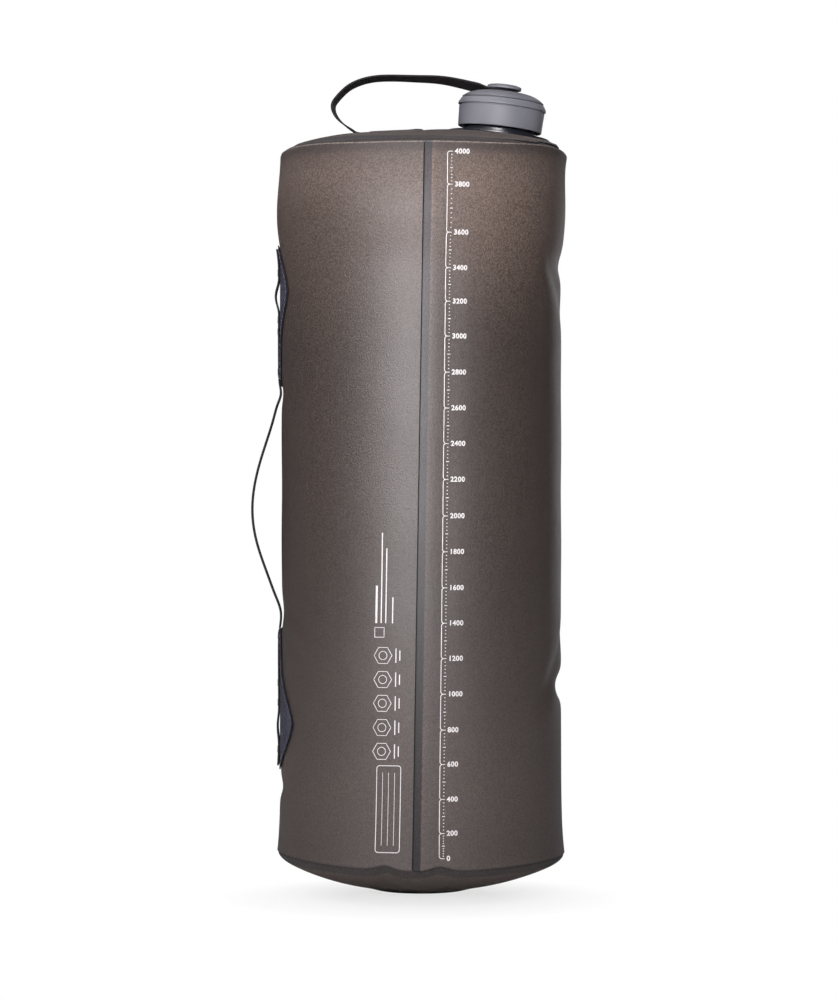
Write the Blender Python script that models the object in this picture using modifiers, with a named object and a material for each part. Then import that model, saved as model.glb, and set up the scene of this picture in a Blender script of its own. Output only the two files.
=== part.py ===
# Collapsible water carrier: a film tube with dished ends, a screw cap on a leash,
# and a webbing handle sewn to two patches on its side. Metres, +Z up, front towards -Y.
# The origin is the middle of the flat foot that the carrier stands on.
from math import atan2, cos, degrees, exp, hypot, pi, radians, sin, sqrt, tan

import bmesh
import bpy
from mathutils import Vector

# Film envelope
film_thickness = 0.0004
touch_gap = 0.0003
body_radius = 0.0629
rim_flare = 0.0016
rim_lean = 0.0016
film_lip = 0.0007
seam_flare = 0.0012
seam_height = 0.0164
rim_height = 0.331
rim_radius = body_radius + rim_flare
seam_radius = body_radius + seam_flare
flare_length = 0.012
upper_bulge = 0.0016
upper_bulge_length = 0.055
dome_height = 0.0089
top_skirt = 0.0026
bottom_skirt = 0.0018
foot_radius = 0.0195
lap_width = 0.0038
lap_ramp = 0.0038
panel_twist_deg = 4.6
seam_offset_deg = 0.35
weld_distance = 0.000001
end_column_count = 42
coarse_column = 0.0145
coarse_row = 0.0155
row_spare_share = 0.3
dent_row_shares = (-1.6, -0.8, 0.0, 0.8, 1.6)
pucker_fade_power = 4
front_column_count = 9
back_column_count = 2

# Dished bottom: share of the way from foot to seam, share of the seam's height
bottom_profile_shares = [(0.0, 0.0), (0.13, 0.09), (0.36, 0.215), (0.55, 0.345), (0.75, 0.56), (0.91, 0.79)]
# Puckers in the bottom seam beside the front weld
pucker_height = 0.0027
pucker_half_width = 0.0042
pucker_reach_shares = [(-4.15, 1.0), (1.95, 0.95)]
# Dents in the wall: angle in degrees, share of the wall's height,
# share of the deepest dent, share of its size
dent_depth = 0.0032
dent_half_width = 0.015
dent_half_height = 0.0052
dent_shares = [
    (0, 0.237, 1.0, 1.0),
    (-6, 0.838, 0.55, 1.1),
    (180, 0.655, 0.35, 0.8),
    (178, 0.345, 0.4, 1.3),
    (180, 0.097, 0.5, 0.8),
]

# Patches and webbing on the -X side
patch_thickness = 0.0005
upper_patch_drop = 0.042
lower_patch_rise = 0.0381
patch_length = 0.063
upper_patch_top = rim_height - upper_patch_drop
lower_patch_base = seam_height + lower_patch_rise
patch_half_width = 0.0225
patch_lower_half_width = 0.0285
# Share of the patch's length from its outer tip, share of its half width
patch_outline_shares = [
    (0.0, 0.28), (0.05, 0.45), (0.15, 0.71), (0.25, 0.90), (0.34, 1.0), (0.44, 0.89),
    (0.56, 0.67), (0.68, 0.48), (0.82, 0.39), (0.94, 0.34), (1.0, 0.22),
]
# Further rows of a patch, and its columns as shares of the half width
patch_row_shares = (0.1, 0.2, 0.3, 0.39, 0.5, 0.62, 0.75, 0.88)
patch_across_shares = (-1.0, -0.67, -0.33, 0.0, 0.33, 0.67, 1.0)
webbing_width = 0.010
webbing_thickness = 0.0007
webbing_inset = 0.0014
handle_tack = 0.0035
handle_top = upper_patch_top - patch_length + handle_tack
handle_base = lower_patch_base + patch_length
handle_bulge = 0.0121
handle_skew_share = 0.02
lash_bulge = 0.0023
lash_length = 0.0165
upper_lash_drop = 0.0226
lower_lash_rise = 0.0192
upper_lash_height = upper_patch_top - upper_lash_drop
lower_lash_height = lower_patch_base + lower_lash_rise
lash_step = 0.0012
handle_step = 0.0045

# Spout, tilted with the shoulder that it is welded to
cap_inset = 0.0279
cap_offset = body_radius - cap_inset
cap_tilt_deg = 6.5
flange_radius = 0.024
flange_thickness = 0.0010
flange_edge = 0.0004
flange_land = 0.0012
flange_blend = 0.018
# Rings of the top film, as shares of the way from the flange's land to the rim
shoulder_ring_shares = (0.07, 0.16, 0.3, 0.5, 0.75, 1.0)
spout_bore = 0.0126
collar_radius = 0.0165
collar_height = 0.0022
thread_radius = 0.0156
spout_height = 0.0132
spout_edge = 0.0006
turned_step_count = 36

# Cap
skirt_base = 0.0040
skirt_base_radius = 0.01885
skirt_top_radius = 0.0193
skirt_inner_radius = 0.0170
bead_radius = 0.0199
bead_base = 0.0137
bead_top = 0.0167
groove_depth = 0.0005
groove_width = 0.0005
cap_edge = 0.0005
fillet_step_count = 2
seal_thickness = 0.0012
seal_inset = 0.0003
plate_thickness = 0.0012
crown_radius = 0.0184
crown_rise = 0.0040
crown_thickness = 0.0016
crown_hole = 0.0031
crown_rim_height = 0.0004
dome_point_count = 4

# Swivel button and leash
button_radius = 0.0077
button_thickness = 0.0023
button_edge = 0.0009
button_side = 0.0018
button_lower_edge = 0.00045
post_radius = 0.0026
barb_radius = 0.0040
barb_thickness = 0.0009
button_step_count = 28
leash_width = 0.010
leash_thickness = 0.0007
leash_eyelet = 0.0031
leash_exit = 0.0105
leash_rise = 0.0256
leash_overhang = 0.016
leash_landing = -0.026
leash_end = -0.008
leash_step = 0.0024
# Route of the free leash: share of its reach from the far bend, share of its rise
leash_route_shares = [
    (0.767, 0.957), (0.578, 0.992), (0.302, 0.996), (0.136, 0.871), (0.034, 0.634),
    (0.006, 0.470), (0.040, 0.271), (0.130, 0.080),
]
# Shares of the leash's straight start, from its round tip, and of its half width
leash_start_shares = (0.0, 0.06, 0.16, 0.33, 0.66)
leash_across_shares = (-1.0, -0.8, -0.4, 0.0, 0.4, 0.8, 1.0)
leash_tip_share = 0.25
leash_patch_length = 0.024
leash_patch_width = 0.026
leash_patch_thickness = 0.0005
leash_patch_overlap = 0.003
leash_patch_slope = 0.0045
leash_patch_row_count = 5
cutter_depth = 0.003
cutter_step_count = 24

front = radians(-90)
left = radians(180)


def clear_scene():
    for obj in list(bpy.data.objects):
        bpy.data.objects.remove(obj)


def make_collection(name):
    collection = bpy.data.collections.new(name)
    bpy.context.scene.collection.children.link(collection)
    return collection


def make_material(name, colour, roughness, metallic=0.0):
    material = bpy.data.materials.new(name)
    material.use_nodes = True
    shader = material.node_tree.nodes["Principled BSDF"]
    shader.inputs["Base Color"].default_value = (*colour, 1.0)
    shader.inputs["Roughness"].default_value = roughness
    shader.inputs["Metallic"].default_value = metallic
    material.diffuse_color = (*colour, 1.0)
    return material


def make_empty(name, position, tilt=0.0, parent=None):
    empty = bpy.data.objects.new(name, None)
    parts.objects.link(empty)
    empty.location = position
    empty.rotation_euler = (0.0, tilt, 0.0)
    bpy.context.view_layer.update()
    if parent:
        keep_place(empty, parent)
    return empty


def keep_place(obj, parent):
    obj.parent = parent
    obj.matrix_parent_inverse = parent.matrix_world.inverted()
    bpy.context.view_layer.update()


def add_part(name, bm, material, smooth_angle=radians(40)):
    mesh = bpy.data.meshes.new(name)
    bm.to_mesh(mesh)
    bm.free()
    mesh.shade_smooth()
    mesh.set_sharp_from_angle(angle=smooth_angle)
    mesh.materials.append(material)
    obj = bpy.data.objects.new(name, mesh)
    parts.objects.link(obj)
    return obj


def thicken(obj, thickness):
    solid = obj.modifiers.new("thickness", "SOLIDIFY")
    solid.thickness = thickness
    solid.offset = 0.0
    solid.use_even_offset = True
    return obj


def smooth_step(value):
    value = min(max(value, 0.0), 1.0)
    return value * value * (3 - 2 * value)


def smooth_points(points, step):
    """Points read from a Catmull-Rom curve through the given (x, z) points, about one step apart."""
    ends = [2 * points[0] - points[1], *points, 2 * points[-1] - points[-2]]
    curve = []
    for before, start, end, after in zip(ends, ends[1:], ends[2:], ends[3:]):
        count = max(1, round((end - start).length / step))
        for i in range(count):
            t = i / count
            curve.append(
                0.5 * (2 * start + (end - before) * t
                       + (2 * before - 5 * start + 4 * end - after) * t**2
                       + (3 * start - before - 3 * end + after) * t**3)
            )
    return [*curve, points[-1]]


def wave(share):
    return sin(pi * min(max(share, 0.0), 1.0)) ** 2


def between(shares, value):
    """Straight-line reading of a table of (position, amount) shares."""
    for (low, first), (high, second) in zip(shares, shares[1:]):
        if value <= high:
            return first + (second - first) * (value - low) / (high - low)
    return shares[-1][1]


def wrapped_grid(columns, rows, place):
    """A grid whose points are moved to place(column, row)."""
    bm = bmesh.new()
    bmesh.ops.create_grid(bm, x_segments=len(columns) - 1, y_segments=len(rows) - 1, size=1)
    for vertex in bm.verts:
        column = columns[round((vertex.co.x + 1) / 2 * (len(columns) - 1))]
        row = rows[round((vertex.co.y + 1) / 2 * (len(rows) - 1))]
        vertex.co = place(column, row)
    return bm


def at_angle(radius, angle, height):
    return Vector((radius * cos(angle), radius * sin(angle), height))


# Film walls

def seam_line(angle):
    """Height of the bottom seam, lifted at the puckers beside the front weld."""
    lift = 0.0
    for reach_share, height_share in pucker_reach_shares:
        centre = front + reach_share * pucker_half_width / seam_radius
        turn = (angle - centre + pi) % (2 * pi) - pi
        lift += height_share * pucker_height * exp(-((turn * seam_radius / pucker_half_width) ** 2))
    return seam_height + lift


def wall_radius(angle, height):
    radius = body_radius
    radius += (rim_flare + rim_lean * cos(angle)) * exp(-(rim_height - height) / flare_length)
    radius += (seam_radius - body_radius) * exp(-abs(height - seam_height) / flare_length)
    radius += upper_bulge * wave((rim_height - height) / upper_bulge_length)
    for turn_deg, height_share, depth_share, size_share in dent_shares:
        centre = seam_height + height_share * (rim_height - seam_height)
        turn = (angle - radians(turn_deg) + pi) % (2 * pi) - pi
        across = turn * body_radius / (dent_half_width * size_share)
        along = (height - centre) / (dent_half_height * size_share)
        radius -= dent_depth * depth_share * exp(-(across**2) - along**2)
    return radius


def weld_twist(height):
    middle = (rim_height + seam_height) / 2
    share = (height - middle) / (rim_height - seam_height)
    return radians(seam_offset_deg + panel_twist_deg * share)


lap_step_out = film_thickness + touch_gap
panel_length = pi * body_radius + lap_width


def lap_lift(arc_from_edge):
    """How far the upper layer of a lap weld stands out, by its distance from its cut edge."""
    return lap_step_out * (1 - smooth_step((arc_from_edge - lap_width) / lap_ramp))


def plug_radius(angle, height):
    """Corner radius of a skirt that stands inside the wall, clear of the wall's flats."""
    places = spread(panel_length, front_column_count, back_column_count)
    widest = max(end - start for start, end in zip(places, places[1:])) / body_radius
    return wall_radius(angle, height) * cos(widest / 2) - film_thickness - touch_gap


def spread(length, fine_start, fine_end):
    """Places along a length: fine steps at both ends, and even coarse ones about its middle."""
    start = [i * lap_width for i in range(fine_start + 1)]
    end = [length - i * lap_width for i in range(fine_end, -1, -1)]
    middle = length / 2
    places = list(start)
    for low, high in ((start[-1], middle), (middle, end[0])):
        count = max(1, round((high - low) / coarse_column))
        places += [low + (high - low) * i / count for i in range(1, count + 1)]
    return places + end[1:]


def wall_rows(is_on_side):
    """Shares of the wall's height, with extra rows through the dents of one side."""
    count = round((rim_height - seam_height) / coarse_row)
    rows = {i / count for i in range(count + 1)} | {0.5 / count, 1 - 0.5 / count}
    spare = row_spare_share / count
    for turn_deg, height_share, depth_share, size_share in dent_shares:
        if not is_on_side(turn_deg):
            continue
        reach = dent_half_height * size_share / (rim_height - seam_height)
        extra = [height_share + step * reach for step in dent_row_shares]
        rows = {row for row in rows if all(abs(row - e) > spare for e in extra)} | set(extra)
    return sorted(rows)


def build_panel(name, start_angle, fine_at_start, is_on_side):
    """Half of the wall, from its lower lap edge at start_angle round to its upper lap edge."""
    fine = (front_column_count, back_column_count)
    columns = spread(panel_length, *(fine if fine_at_start else fine[::-1]))

    def place(arc, row):
        height_share = row
        angle = start_angle + (lap_width / 2 - arc) / body_radius
        low = seam_line(angle + weld_twist(seam_height)) - film_lip
        high = rim_height + film_lip
        height = low + height_share * (high - low)
        angle += weld_twist(height)
        return at_angle(wall_radius(angle, height) + lap_lift(panel_length - arc), angle, height)

    bm = wrapped_grid(columns, wall_rows(is_on_side), place)
    return thicken(add_part(name, bm, film), film_thickness)


def build_bottom_panel():
    """Dished end, with a flat foot and a skirt turned up inside the wall."""
    slope = seam_radius - foot_radius
    rings = [(foot_radius + share * slope, rise, False) for share, rise in bottom_profile_shares]
    rings += [(seam_radius, 1.0, False), (seam_radius, 1.0, True)]
    weld = front + weld_twist(seam_height)
    fine_step = lap_width / body_radius
    gathered = (front_column_count - 0.5) * fine_step
    fine_count = 2 * front_column_count - 1
    coarse_count = end_column_count - fine_count
    coarse_step = (2 * pi - 2 * gathered) / coarse_count
    angles = [weld - gathered + i * fine_step for i in range(fine_count + 1)]
    angles += [weld + gathered + i * coarse_step for i in range(1, coarse_count + 1)]

    def place(angle, ring):
        radius, rise, is_skirt = ring
        seam = seam_line(angle)
        if rise == 1.0:
            radius = plug_radius(angle, seam)
        height = film_thickness / 2 + rise * (seam_height - film_thickness / 2)
        height += (seam - seam_height) * (radius / seam_radius) ** pucker_fade_power
        if is_skirt:
            height += bottom_skirt
        return at_angle(radius, angle, height)

    bm = wrapped_grid(angles, rings, place)
    close_disc(bm, foot_radius + film_thickness, film_thickness / 2)
    return thicken(add_part("bottom_panel", bm, film), film_thickness)


def close_disc(bm, inner_radius, height):
    """Joins the grid's two ends and fills its innermost ring with a flat face."""
    bmesh.ops.remove_doubles(bm, verts=bm.verts, dist=weld_distance)
    ring = [e for e in bm.edges if e.is_boundary and all(hypot(*v.co.xy) < inner_radius for v in e.verts)]
    for edge in ring:
        for vertex in edge.verts:
            vertex.co.z = height
    bmesh.ops.edgeloop_fill(bm, edges=ring)
    bmesh.ops.recalc_face_normals(bm, faces=bm.faces)


# Top end

def shoulder_height(x, y):
    """Middle of the top film: a shallow dome, pulled flat where the spout's flange is welded on."""
    dome = dome_top(x, y)
    out = hypot(x - cap_offset, y)
    angle = atan2(y, x - cap_offset)
    off_centre = cap_offset - rim_lean
    to_rim = sqrt(rim_radius**2 - (off_centre * sin(angle)) ** 2) - off_centre * cos(angle)
    land = flange_radius + flange_land
    share = smooth_step((out - land) / min(flange_blend, to_rim - land))
    return flange_plane(x) * (1 - share) + dome * share


def dome_top(x, y):
    """The dome alone, about the rim's centre, which leans towards the cap."""
    return rim_height + dome_height * (1 - ((x - rim_lean) ** 2 + y * y) / rim_radius**2)


def flange_plane(x):
    return dome_top(cap_offset, 0.0) - tan(cap_tilt) * (x - cap_offset)


def build_top_panel():
    hole = spout_bore + touch_gap
    land = flange_radius + flange_land
    rings = [("flat", hole), ("flat", land)]
    rings += [("shoulder", share) for share in shoulder_ring_shares]
    rings += [("skirt", top_skirt)]
    angles = [2 * pi * i / end_column_count for i in range(end_column_count + 1)]

    def place(angle, ring):
        kind, amount = ring
        edge = at_angle(plug_radius(angle, rim_height), angle, rim_height)
        if kind == "skirt":
            return edge - Vector((0.0, 0.0, amount))
        out = amount if kind == "flat" else land
        inner = Vector((cap_offset + out * cos(angle), out * sin(angle), 0.0))
        if kind == "flat":
            return Vector((inner.x, inner.y, flange_plane(inner.x)))
        point = inner.lerp(edge, amount)
        point.z = rim_height if amount == 1.0 else shoulder_height(point.x, point.y)
        return point

    bm = wrapped_grid(angles, rings, place)
    bmesh.ops.remove_doubles(bm, verts=bm.verts, dist=weld_distance)
    bmesh.ops.recalc_face_normals(bm, faces=bm.faces)
    return thicken(add_part("top_panel", bm, film), film_thickness)


# Turned pieces, in heights above the shoulder film along the cap's axis

def rounded(outline, closed=True):
    """Outline of (radius, height, fillet) corners, each fillet an even curve of a few points."""
    corners = [Vector((radius, height)) for radius, height, _ in outline]
    points = []
    for i, (_, _, fillet) in enumerate(outline):
        corner = corners[i]
        is_end = not closed and i in (0, len(outline) - 1)
        if not fillet or is_end:
            points.append(corner)
            continue
        before = corner + (corners[i - 1] - corner).normalized() * fillet
        after = corner + (corners[(i + 1) % len(corners)] - corner).normalized() * fillet
        for k in range(fillet_step_count + 1):
            t = k / fillet_step_count
            points.append(before * (1 - t) ** 2 + corner * 2 * t * (1 - t) + after * t**2)
    return points


def turned(name, points, material, closed=True, steps=turned_step_count):
    """A profile turned about the cap's axis, running down its outer side."""
    bm = bmesh.new()
    verts = [bm.verts.new((p.x, 0.0, p.y)) for p in points]
    for start, end in zip(verts, verts[1:] + ([verts[0]] if closed else [])):
        bm.edges.new((start, end))
    obj = add_part(name, bm, material)
    screw = obj.modifiers.new("turn", "SCREW")
    screw.angle = 2 * pi
    screw.steps = steps
    screw.render_steps = steps
    screw.use_merge_vertices = True
    screw.merge_threshold = weld_distance
    screw.use_smooth_shade = True
    obj.matrix_world = cap_axis.matrix_world
    return obj


film_top = film_thickness / 2
flange_base = film_top + touch_gap
flange_top = flange_base + flange_thickness


def build_spout():
    outline = [
        (spout_bore, spout_height, spout_edge),
        (thread_radius, spout_height, spout_edge),
        (thread_radius, flange_top + collar_height, 0),
        (collar_radius, flange_top + collar_height, cap_edge),
        (collar_radius, flange_top, 0),
        (flange_radius, flange_top, flange_edge),
        (flange_radius, flange_base, 0),
        (spout_bore, flange_base, 0),
    ]
    return turned("spout", rounded(outline), gloss_black)


seal_base = spout_height + touch_gap
plate_base = seal_base + seal_thickness + touch_gap
plate_top = plate_base + plate_thickness
crown_base = bead_top + touch_gap
crown_centre = crown_base + crown_rise
strap_base = crown_centre + touch_gap
strap_top = strap_base + leash_thickness
button_base = strap_top + touch_gap


def build_cap_shell():
    groove_top = bead_base
    groove_base = bead_base - groove_width
    ledge = crown_radius - crown_thickness
    outline = [
        (crown_radius, bead_top, 0),
        (bead_radius, bead_top, cap_edge),
        (bead_radius, groove_top, cap_edge),
        (skirt_top_radius - groove_depth, groove_top, 0),
        (skirt_top_radius - groove_depth, groove_base, 0),
        (skirt_top_radius, groove_base, 0),
        (skirt_base_radius, skirt_base, cap_edge),
        (skirt_inner_radius, skirt_base, 0),
        (skirt_inner_radius, plate_base, 0),
    ]
    points = rounded([(0, plate_top, 0), (ledge, plate_top, 0), (ledge, bead_top, 0), *outline, (0, plate_base, 0)],
                     closed=False)
    return turned("cap_shell", points, cap_grey, closed=False)


def crown_height(radius):
    """Height of the crown's upper face, a shallow dome over its low rim."""
    return crown_base + crown_rim_height + (crown_rise - crown_rim_height) * (1 - (radius / crown_radius) ** 2)


def build_cap_crown():
    inner_edge = crown_radius - crown_thickness
    upper = [crown_hole + (crown_radius - crown_hole) * i / dome_point_count for i in range(dome_point_count + 1)]
    lower = [inner_edge + (crown_hole - inner_edge) * i / dome_point_count for i in range(dome_point_count + 1)]
    points = [Vector((radius, crown_height(radius))) for radius in upper]
    points += [Vector((crown_radius, crown_base))]
    points += [Vector((inner_edge - crown_rim_height, crown_base))]
    points += [Vector((radius - crown_rim_height, crown_height(radius) - crown_thickness)) for radius in lower[1:-1]]
    points += [Vector((crown_hole, crown_height(crown_hole) - crown_thickness))]
    return turned("cap_crown", points, cap_grey)


def build_cap_seal():
    inner = spout_bore + seal_inset
    outer = skirt_inner_radius - seal_inset
    outline = [
        (inner, seal_base + seal_thickness, 0),
        (outer, seal_base + seal_thickness, 0),
        (outer, seal_base, 0),
        (inner, seal_base, 0),
    ]
    return turned("cap_seal", rounded(outline), seal_rubber)


def build_button():
    barb_top = crown_height(crown_hole) - crown_thickness - touch_gap
    outline = [
        (0, button_base + button_thickness, 0),
        (button_radius, button_base + button_side, button_edge),
        (button_radius, button_base, button_lower_edge),
        (post_radius, button_base, 0),
        (post_radius, barb_top, 0),
        (barb_radius, barb_top, 0),
        (post_radius, barb_top - barb_thickness, 0),
        (0, barb_top - barb_thickness, 0),
    ]
    return turned("leash_button", rounded(outline, closed=False), cap_grey, closed=False, steps=button_step_count)


# Leash

def leash_points():
    """Middle line of the leash in (x, z), from beyond the button to its end under the anchor patch."""
    eyelet = cap_axis.matrix_world @ Vector((0.0, 0.0, (strap_base + strap_top) / 2))
    eyelet = Vector((eyelet.x, eyelet.z))
    along = Vector((-cos(cap_tilt), sin(cap_tilt)))
    tip = eyelet - along * leash_width / 2
    leave = eyelet + along * leash_exit
    on_film = film_top + touch_gap + leash_thickness / 2
    landing = Vector((leash_landing, shoulder_height(leash_landing, 0.0) + on_film))
    end = Vector((leash_end, shoulder_height(leash_end, 0.0) + on_film))
    low = Vector((landing.x - leash_overhang, landing.y))
    reach = Vector((leave.x - low.x, leash_rise))
    free = [low + Vector((x * reach.x, z * reach.y)) for x, z in leash_route_shares]
    route = smooth_points([leave, *free, landing, end], leash_step)
    start = [tip.lerp(leave, share) for share in leash_start_shares]
    return [*start, *route]


def make_cutter(name, radius, depth):
    bm = bmesh.new()
    bmesh.ops.create_cone(bm, segments=cutter_step_count, radius1=radius, radius2=radius, depth=depth, cap_ends=True)
    mesh = bpy.data.meshes.new(name)
    bm.to_mesh(mesh)
    bm.free()
    cutter = bpy.data.objects.new(name, mesh)
    cutters.objects.link(cutter)
    cutter.hide_render = True
    cutter.display_type = "WIRE"
    return cutter


def build_leash():
    points = leash_points()
    radius = leash_width / 2

    def place(side, i):
        from_eyelet = radius - (points[i] - points[0]).length
        half = radius
        if from_eyelet > 0:
            half = sqrt(max(radius**2 - from_eyelet**2, (radius * leash_tip_share) ** 2))
        return Vector((points[i].x, side * half, points[i].y))

    bm = wrapped_grid(leash_across_shares, list(range(len(points))), place)
    leash = thicken(add_part("leash", bm, webbing), leash_thickness)
    cutter = make_cutter("leash_eyelet_cutter", leash_eyelet, cutter_depth)
    eyelet = Vector((0.0, 0.0, (strap_base + strap_top) / 2))
    cutter.matrix_world = cap_axis.matrix_world.copy()
    cutter.matrix_world.translation = cap_axis.matrix_world @ eyelet
    hole = leash.modifiers.new("eyelet", "BOOLEAN")
    hole.operation = "DIFFERENCE"
    hole.solver = "EXACT"
    hole.object = cutter
    return leash


def build_leash_patch():
    """Cover welded over the leash's end, rising over the strap and flat on the film beside it."""
    half = leash_patch_width / 2
    middle = leash_width / 2 + touch_gap
    sides = [-half, -(middle + leash_patch_slope), -middle, 0.0, middle, middle + leash_patch_slope, half]
    start = leash_landing + leash_patch_overlap
    lengths = [start + leash_patch_length * i / leash_patch_row_count for i in range(leash_patch_row_count + 1)]
    flat = film_top + touch_gap + leash_patch_thickness / 2

    def place(side, x):
        covered = abs(side) <= middle and x <= leash_end + middle
        lift = flat + (leash_thickness + touch_gap if covered else 0.0)
        return Vector((x, side, shoulder_height(x, side) + lift))

    return thicken(add_part("leash_patch", wrapped_grid(lengths, sides, lambda x, y: place(y, x)), film),
                   leash_patch_thickness)


# Handle side

def build_patch(name, outer_tip, direction, half_width):
    """Kite of coated fabric on the wall, its broad end towards outer_tip."""
    rows = sorted({share for share, _ in patch_outline_shares} | set(patch_row_shares))
    stand_off = film_top + touch_gap + patch_thickness / 2

    def place(side, share):
        height = outer_tip + direction * patch_length * share
        arc = side * half_width * between(patch_outline_shares, share)
        angle = left + arc / body_radius
        return at_angle(wall_radius(angle, height) + stand_off, angle, height)

    bm = wrapped_grid(patch_across_shares, rows, place)
    return thicken(add_part(name, bm, coated_fabric), patch_thickness)


def strap_place(height):
    """Distance of the webbing's middle from the body's axis, along the handle side."""
    layers = film_top + touch_gap + patch_thickness + touch_gap + webbing_thickness / 2
    out = wall_radius(left, height) + layers
    for centre in (upper_lash_height, lower_lash_height):
        out += lash_bulge * wave((height - centre) / lash_length + 0.5)
    share = (height - handle_base) / (handle_top - handle_base)
    return out + handle_bulge * wave(share + handle_skew_share * sin(pi * share))


def build_webbing(name, heights):
    def place(side, height):
        return Vector((-strap_place(height), side, height))

    bm = wrapped_grid((-webbing_width / 2, webbing_width / 2), heights, place)
    return thicken(add_part(name, bm, webbing), webbing_thickness)


def free_run(name, low, high):
    count = round((high - low) / handle_step)
    return build_webbing(name, [low + (high - low) * i / count for i in range(count + 1)])


def sewn_run(name, low, high, lash_height):
    """Sewn webbing, with close rows only along its lash loop."""
    lash_rows = round(lash_length / lash_step / 2)
    loop = [lash_height + lash_length * (i / lash_rows / 2 - 0.5) for i in range(2 * lash_rows + 1)][::2]
    below = [low + (loop[0] - low) * i / 2 for i in range(2)]
    above = [loop[-1] + (high - loop[-1]) * i / 3 for i in range(1, 4)]
    return build_webbing(name, [*below, *loop, *above])


clear_scene()
parts = make_collection("water_carrier")
cutters = make_collection("cutters")
film = make_material("frosted_film", (0.147, 0.117, 0.105), 0.55)
coated_fabric = make_material("coated_fabric", (0.048, 0.055, 0.085), 0.6)
webbing = make_material("webbing", (0.018, 0.014, 0.017), 0.8)
gloss_black = make_material("gloss_black", (0.012, 0.013, 0.017), 0.2)
cap_grey = make_material("cap_grey", (0.26, 0.265, 0.295), 0.45)
seal_rubber = make_material("seal_rubber", (0.35, 0.35, 0.36), 0.6)

cap_tilt = radians(cap_tilt_deg)
top_end = make_empty("top_end_slide", (0.0, 0.0, rim_height))
cap_axis = make_empty("cap_axis", (cap_offset, 0.0, flange_plane(cap_offset)), cap_tilt, top_end)
handle_axis = make_empty("handle_axis", (-strap_place(handle_top), 0.0, (handle_top + handle_base) / 2))

build_bottom_panel()
build_panel("panel_right", front + pi, False, lambda turn_deg: abs(turn_deg) < degrees(pi / 2))
build_panel("panel_left", front, True, lambda turn_deg: abs(turn_deg) > degrees(pi / 2))
build_patch("upper_patch", upper_patch_top, -1, patch_half_width)
build_patch("lower_patch", lower_patch_base, 1, patch_lower_half_width)
sewn_run("webbing_upper", handle_top + touch_gap, upper_patch_top - webbing_inset, upper_lash_height)
sewn_run("webbing_lower", lower_patch_base + webbing_inset, handle_base - touch_gap, lower_lash_height)
keep_place(free_run("handle_loop", handle_base, handle_top), handle_axis)

for piece in (build_top_panel(), build_leash(), build_leash_patch()):
    keep_place(piece, top_end)
for piece in (build_spout(), build_cap_shell(), build_cap_crown(), build_cap_seal(), build_button()):
    keep_place(piece, cap_axis)
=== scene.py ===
# Looks of the collapsible water carrier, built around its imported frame
# Metres, +Z up, front towards -Y.
from math import atan2, ceil, cos, exp, hypot, inf, pi, radians, sin, sqrt, tan

import bmesh
import bpy
from mathutils import Matrix, Vector


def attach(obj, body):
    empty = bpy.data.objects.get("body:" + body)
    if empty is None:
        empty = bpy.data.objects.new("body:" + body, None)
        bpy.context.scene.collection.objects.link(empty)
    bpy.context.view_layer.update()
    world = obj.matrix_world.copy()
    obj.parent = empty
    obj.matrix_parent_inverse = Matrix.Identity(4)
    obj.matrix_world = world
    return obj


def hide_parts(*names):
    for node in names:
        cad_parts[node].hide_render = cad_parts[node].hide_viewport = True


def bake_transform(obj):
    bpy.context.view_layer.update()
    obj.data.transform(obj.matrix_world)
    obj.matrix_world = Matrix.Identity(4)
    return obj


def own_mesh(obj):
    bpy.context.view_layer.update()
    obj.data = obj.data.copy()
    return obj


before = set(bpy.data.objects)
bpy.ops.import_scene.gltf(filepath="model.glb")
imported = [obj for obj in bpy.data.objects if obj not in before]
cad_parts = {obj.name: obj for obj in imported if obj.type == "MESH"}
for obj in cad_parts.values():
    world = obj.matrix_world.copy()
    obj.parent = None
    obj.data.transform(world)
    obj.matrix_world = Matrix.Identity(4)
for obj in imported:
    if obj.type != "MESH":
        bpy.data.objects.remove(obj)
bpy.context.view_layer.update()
bpy.ops.object.select_all(action="DESELECT")
print("frame loaded:", len(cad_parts), "nodes")

weldDistance = 0.000002
mm = 1000
front, left = radians(-90), radians(180)


class Values(dict):
    # a dictionary that is read by name
    __getattr__ = dict.__getitem__


# small tools

def startPiece(name, addPrimitive, **settings):
    # a primitive, alone in the selection and in object mode
    bpy.ops.object.select_all(action="DESELECT")
    addPrimitive(**settings)
    piece = bpy.context.active_object
    piece.name = piece.data.name = name
    return piece


def pickOnly(piece):
    bpy.ops.object.select_all(action="DESELECT")
    piece.select_set(True)
    bpy.context.view_layer.objects.active = piece


def applyModifiers(piece):
    pickOnly(piece)
    for modifier in list(piece.modifiers):
        bpy.ops.object.modifier_apply(modifier=modifier.name)


def settle(piece):
    # the place goes into the mesh, as in a CAD node
    pickOnly(piece)
    bpy.ops.object.transform_apply(location=True, rotation=True, scale=True)


def joinPieces(name, pieces):
    pickOnly(pieces[0])
    for piece in pieces:
        piece.select_set(True)
    bpy.ops.object.join()
    pieces[0].name = pieces[0].data.name = name
    return pieces[0]


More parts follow.
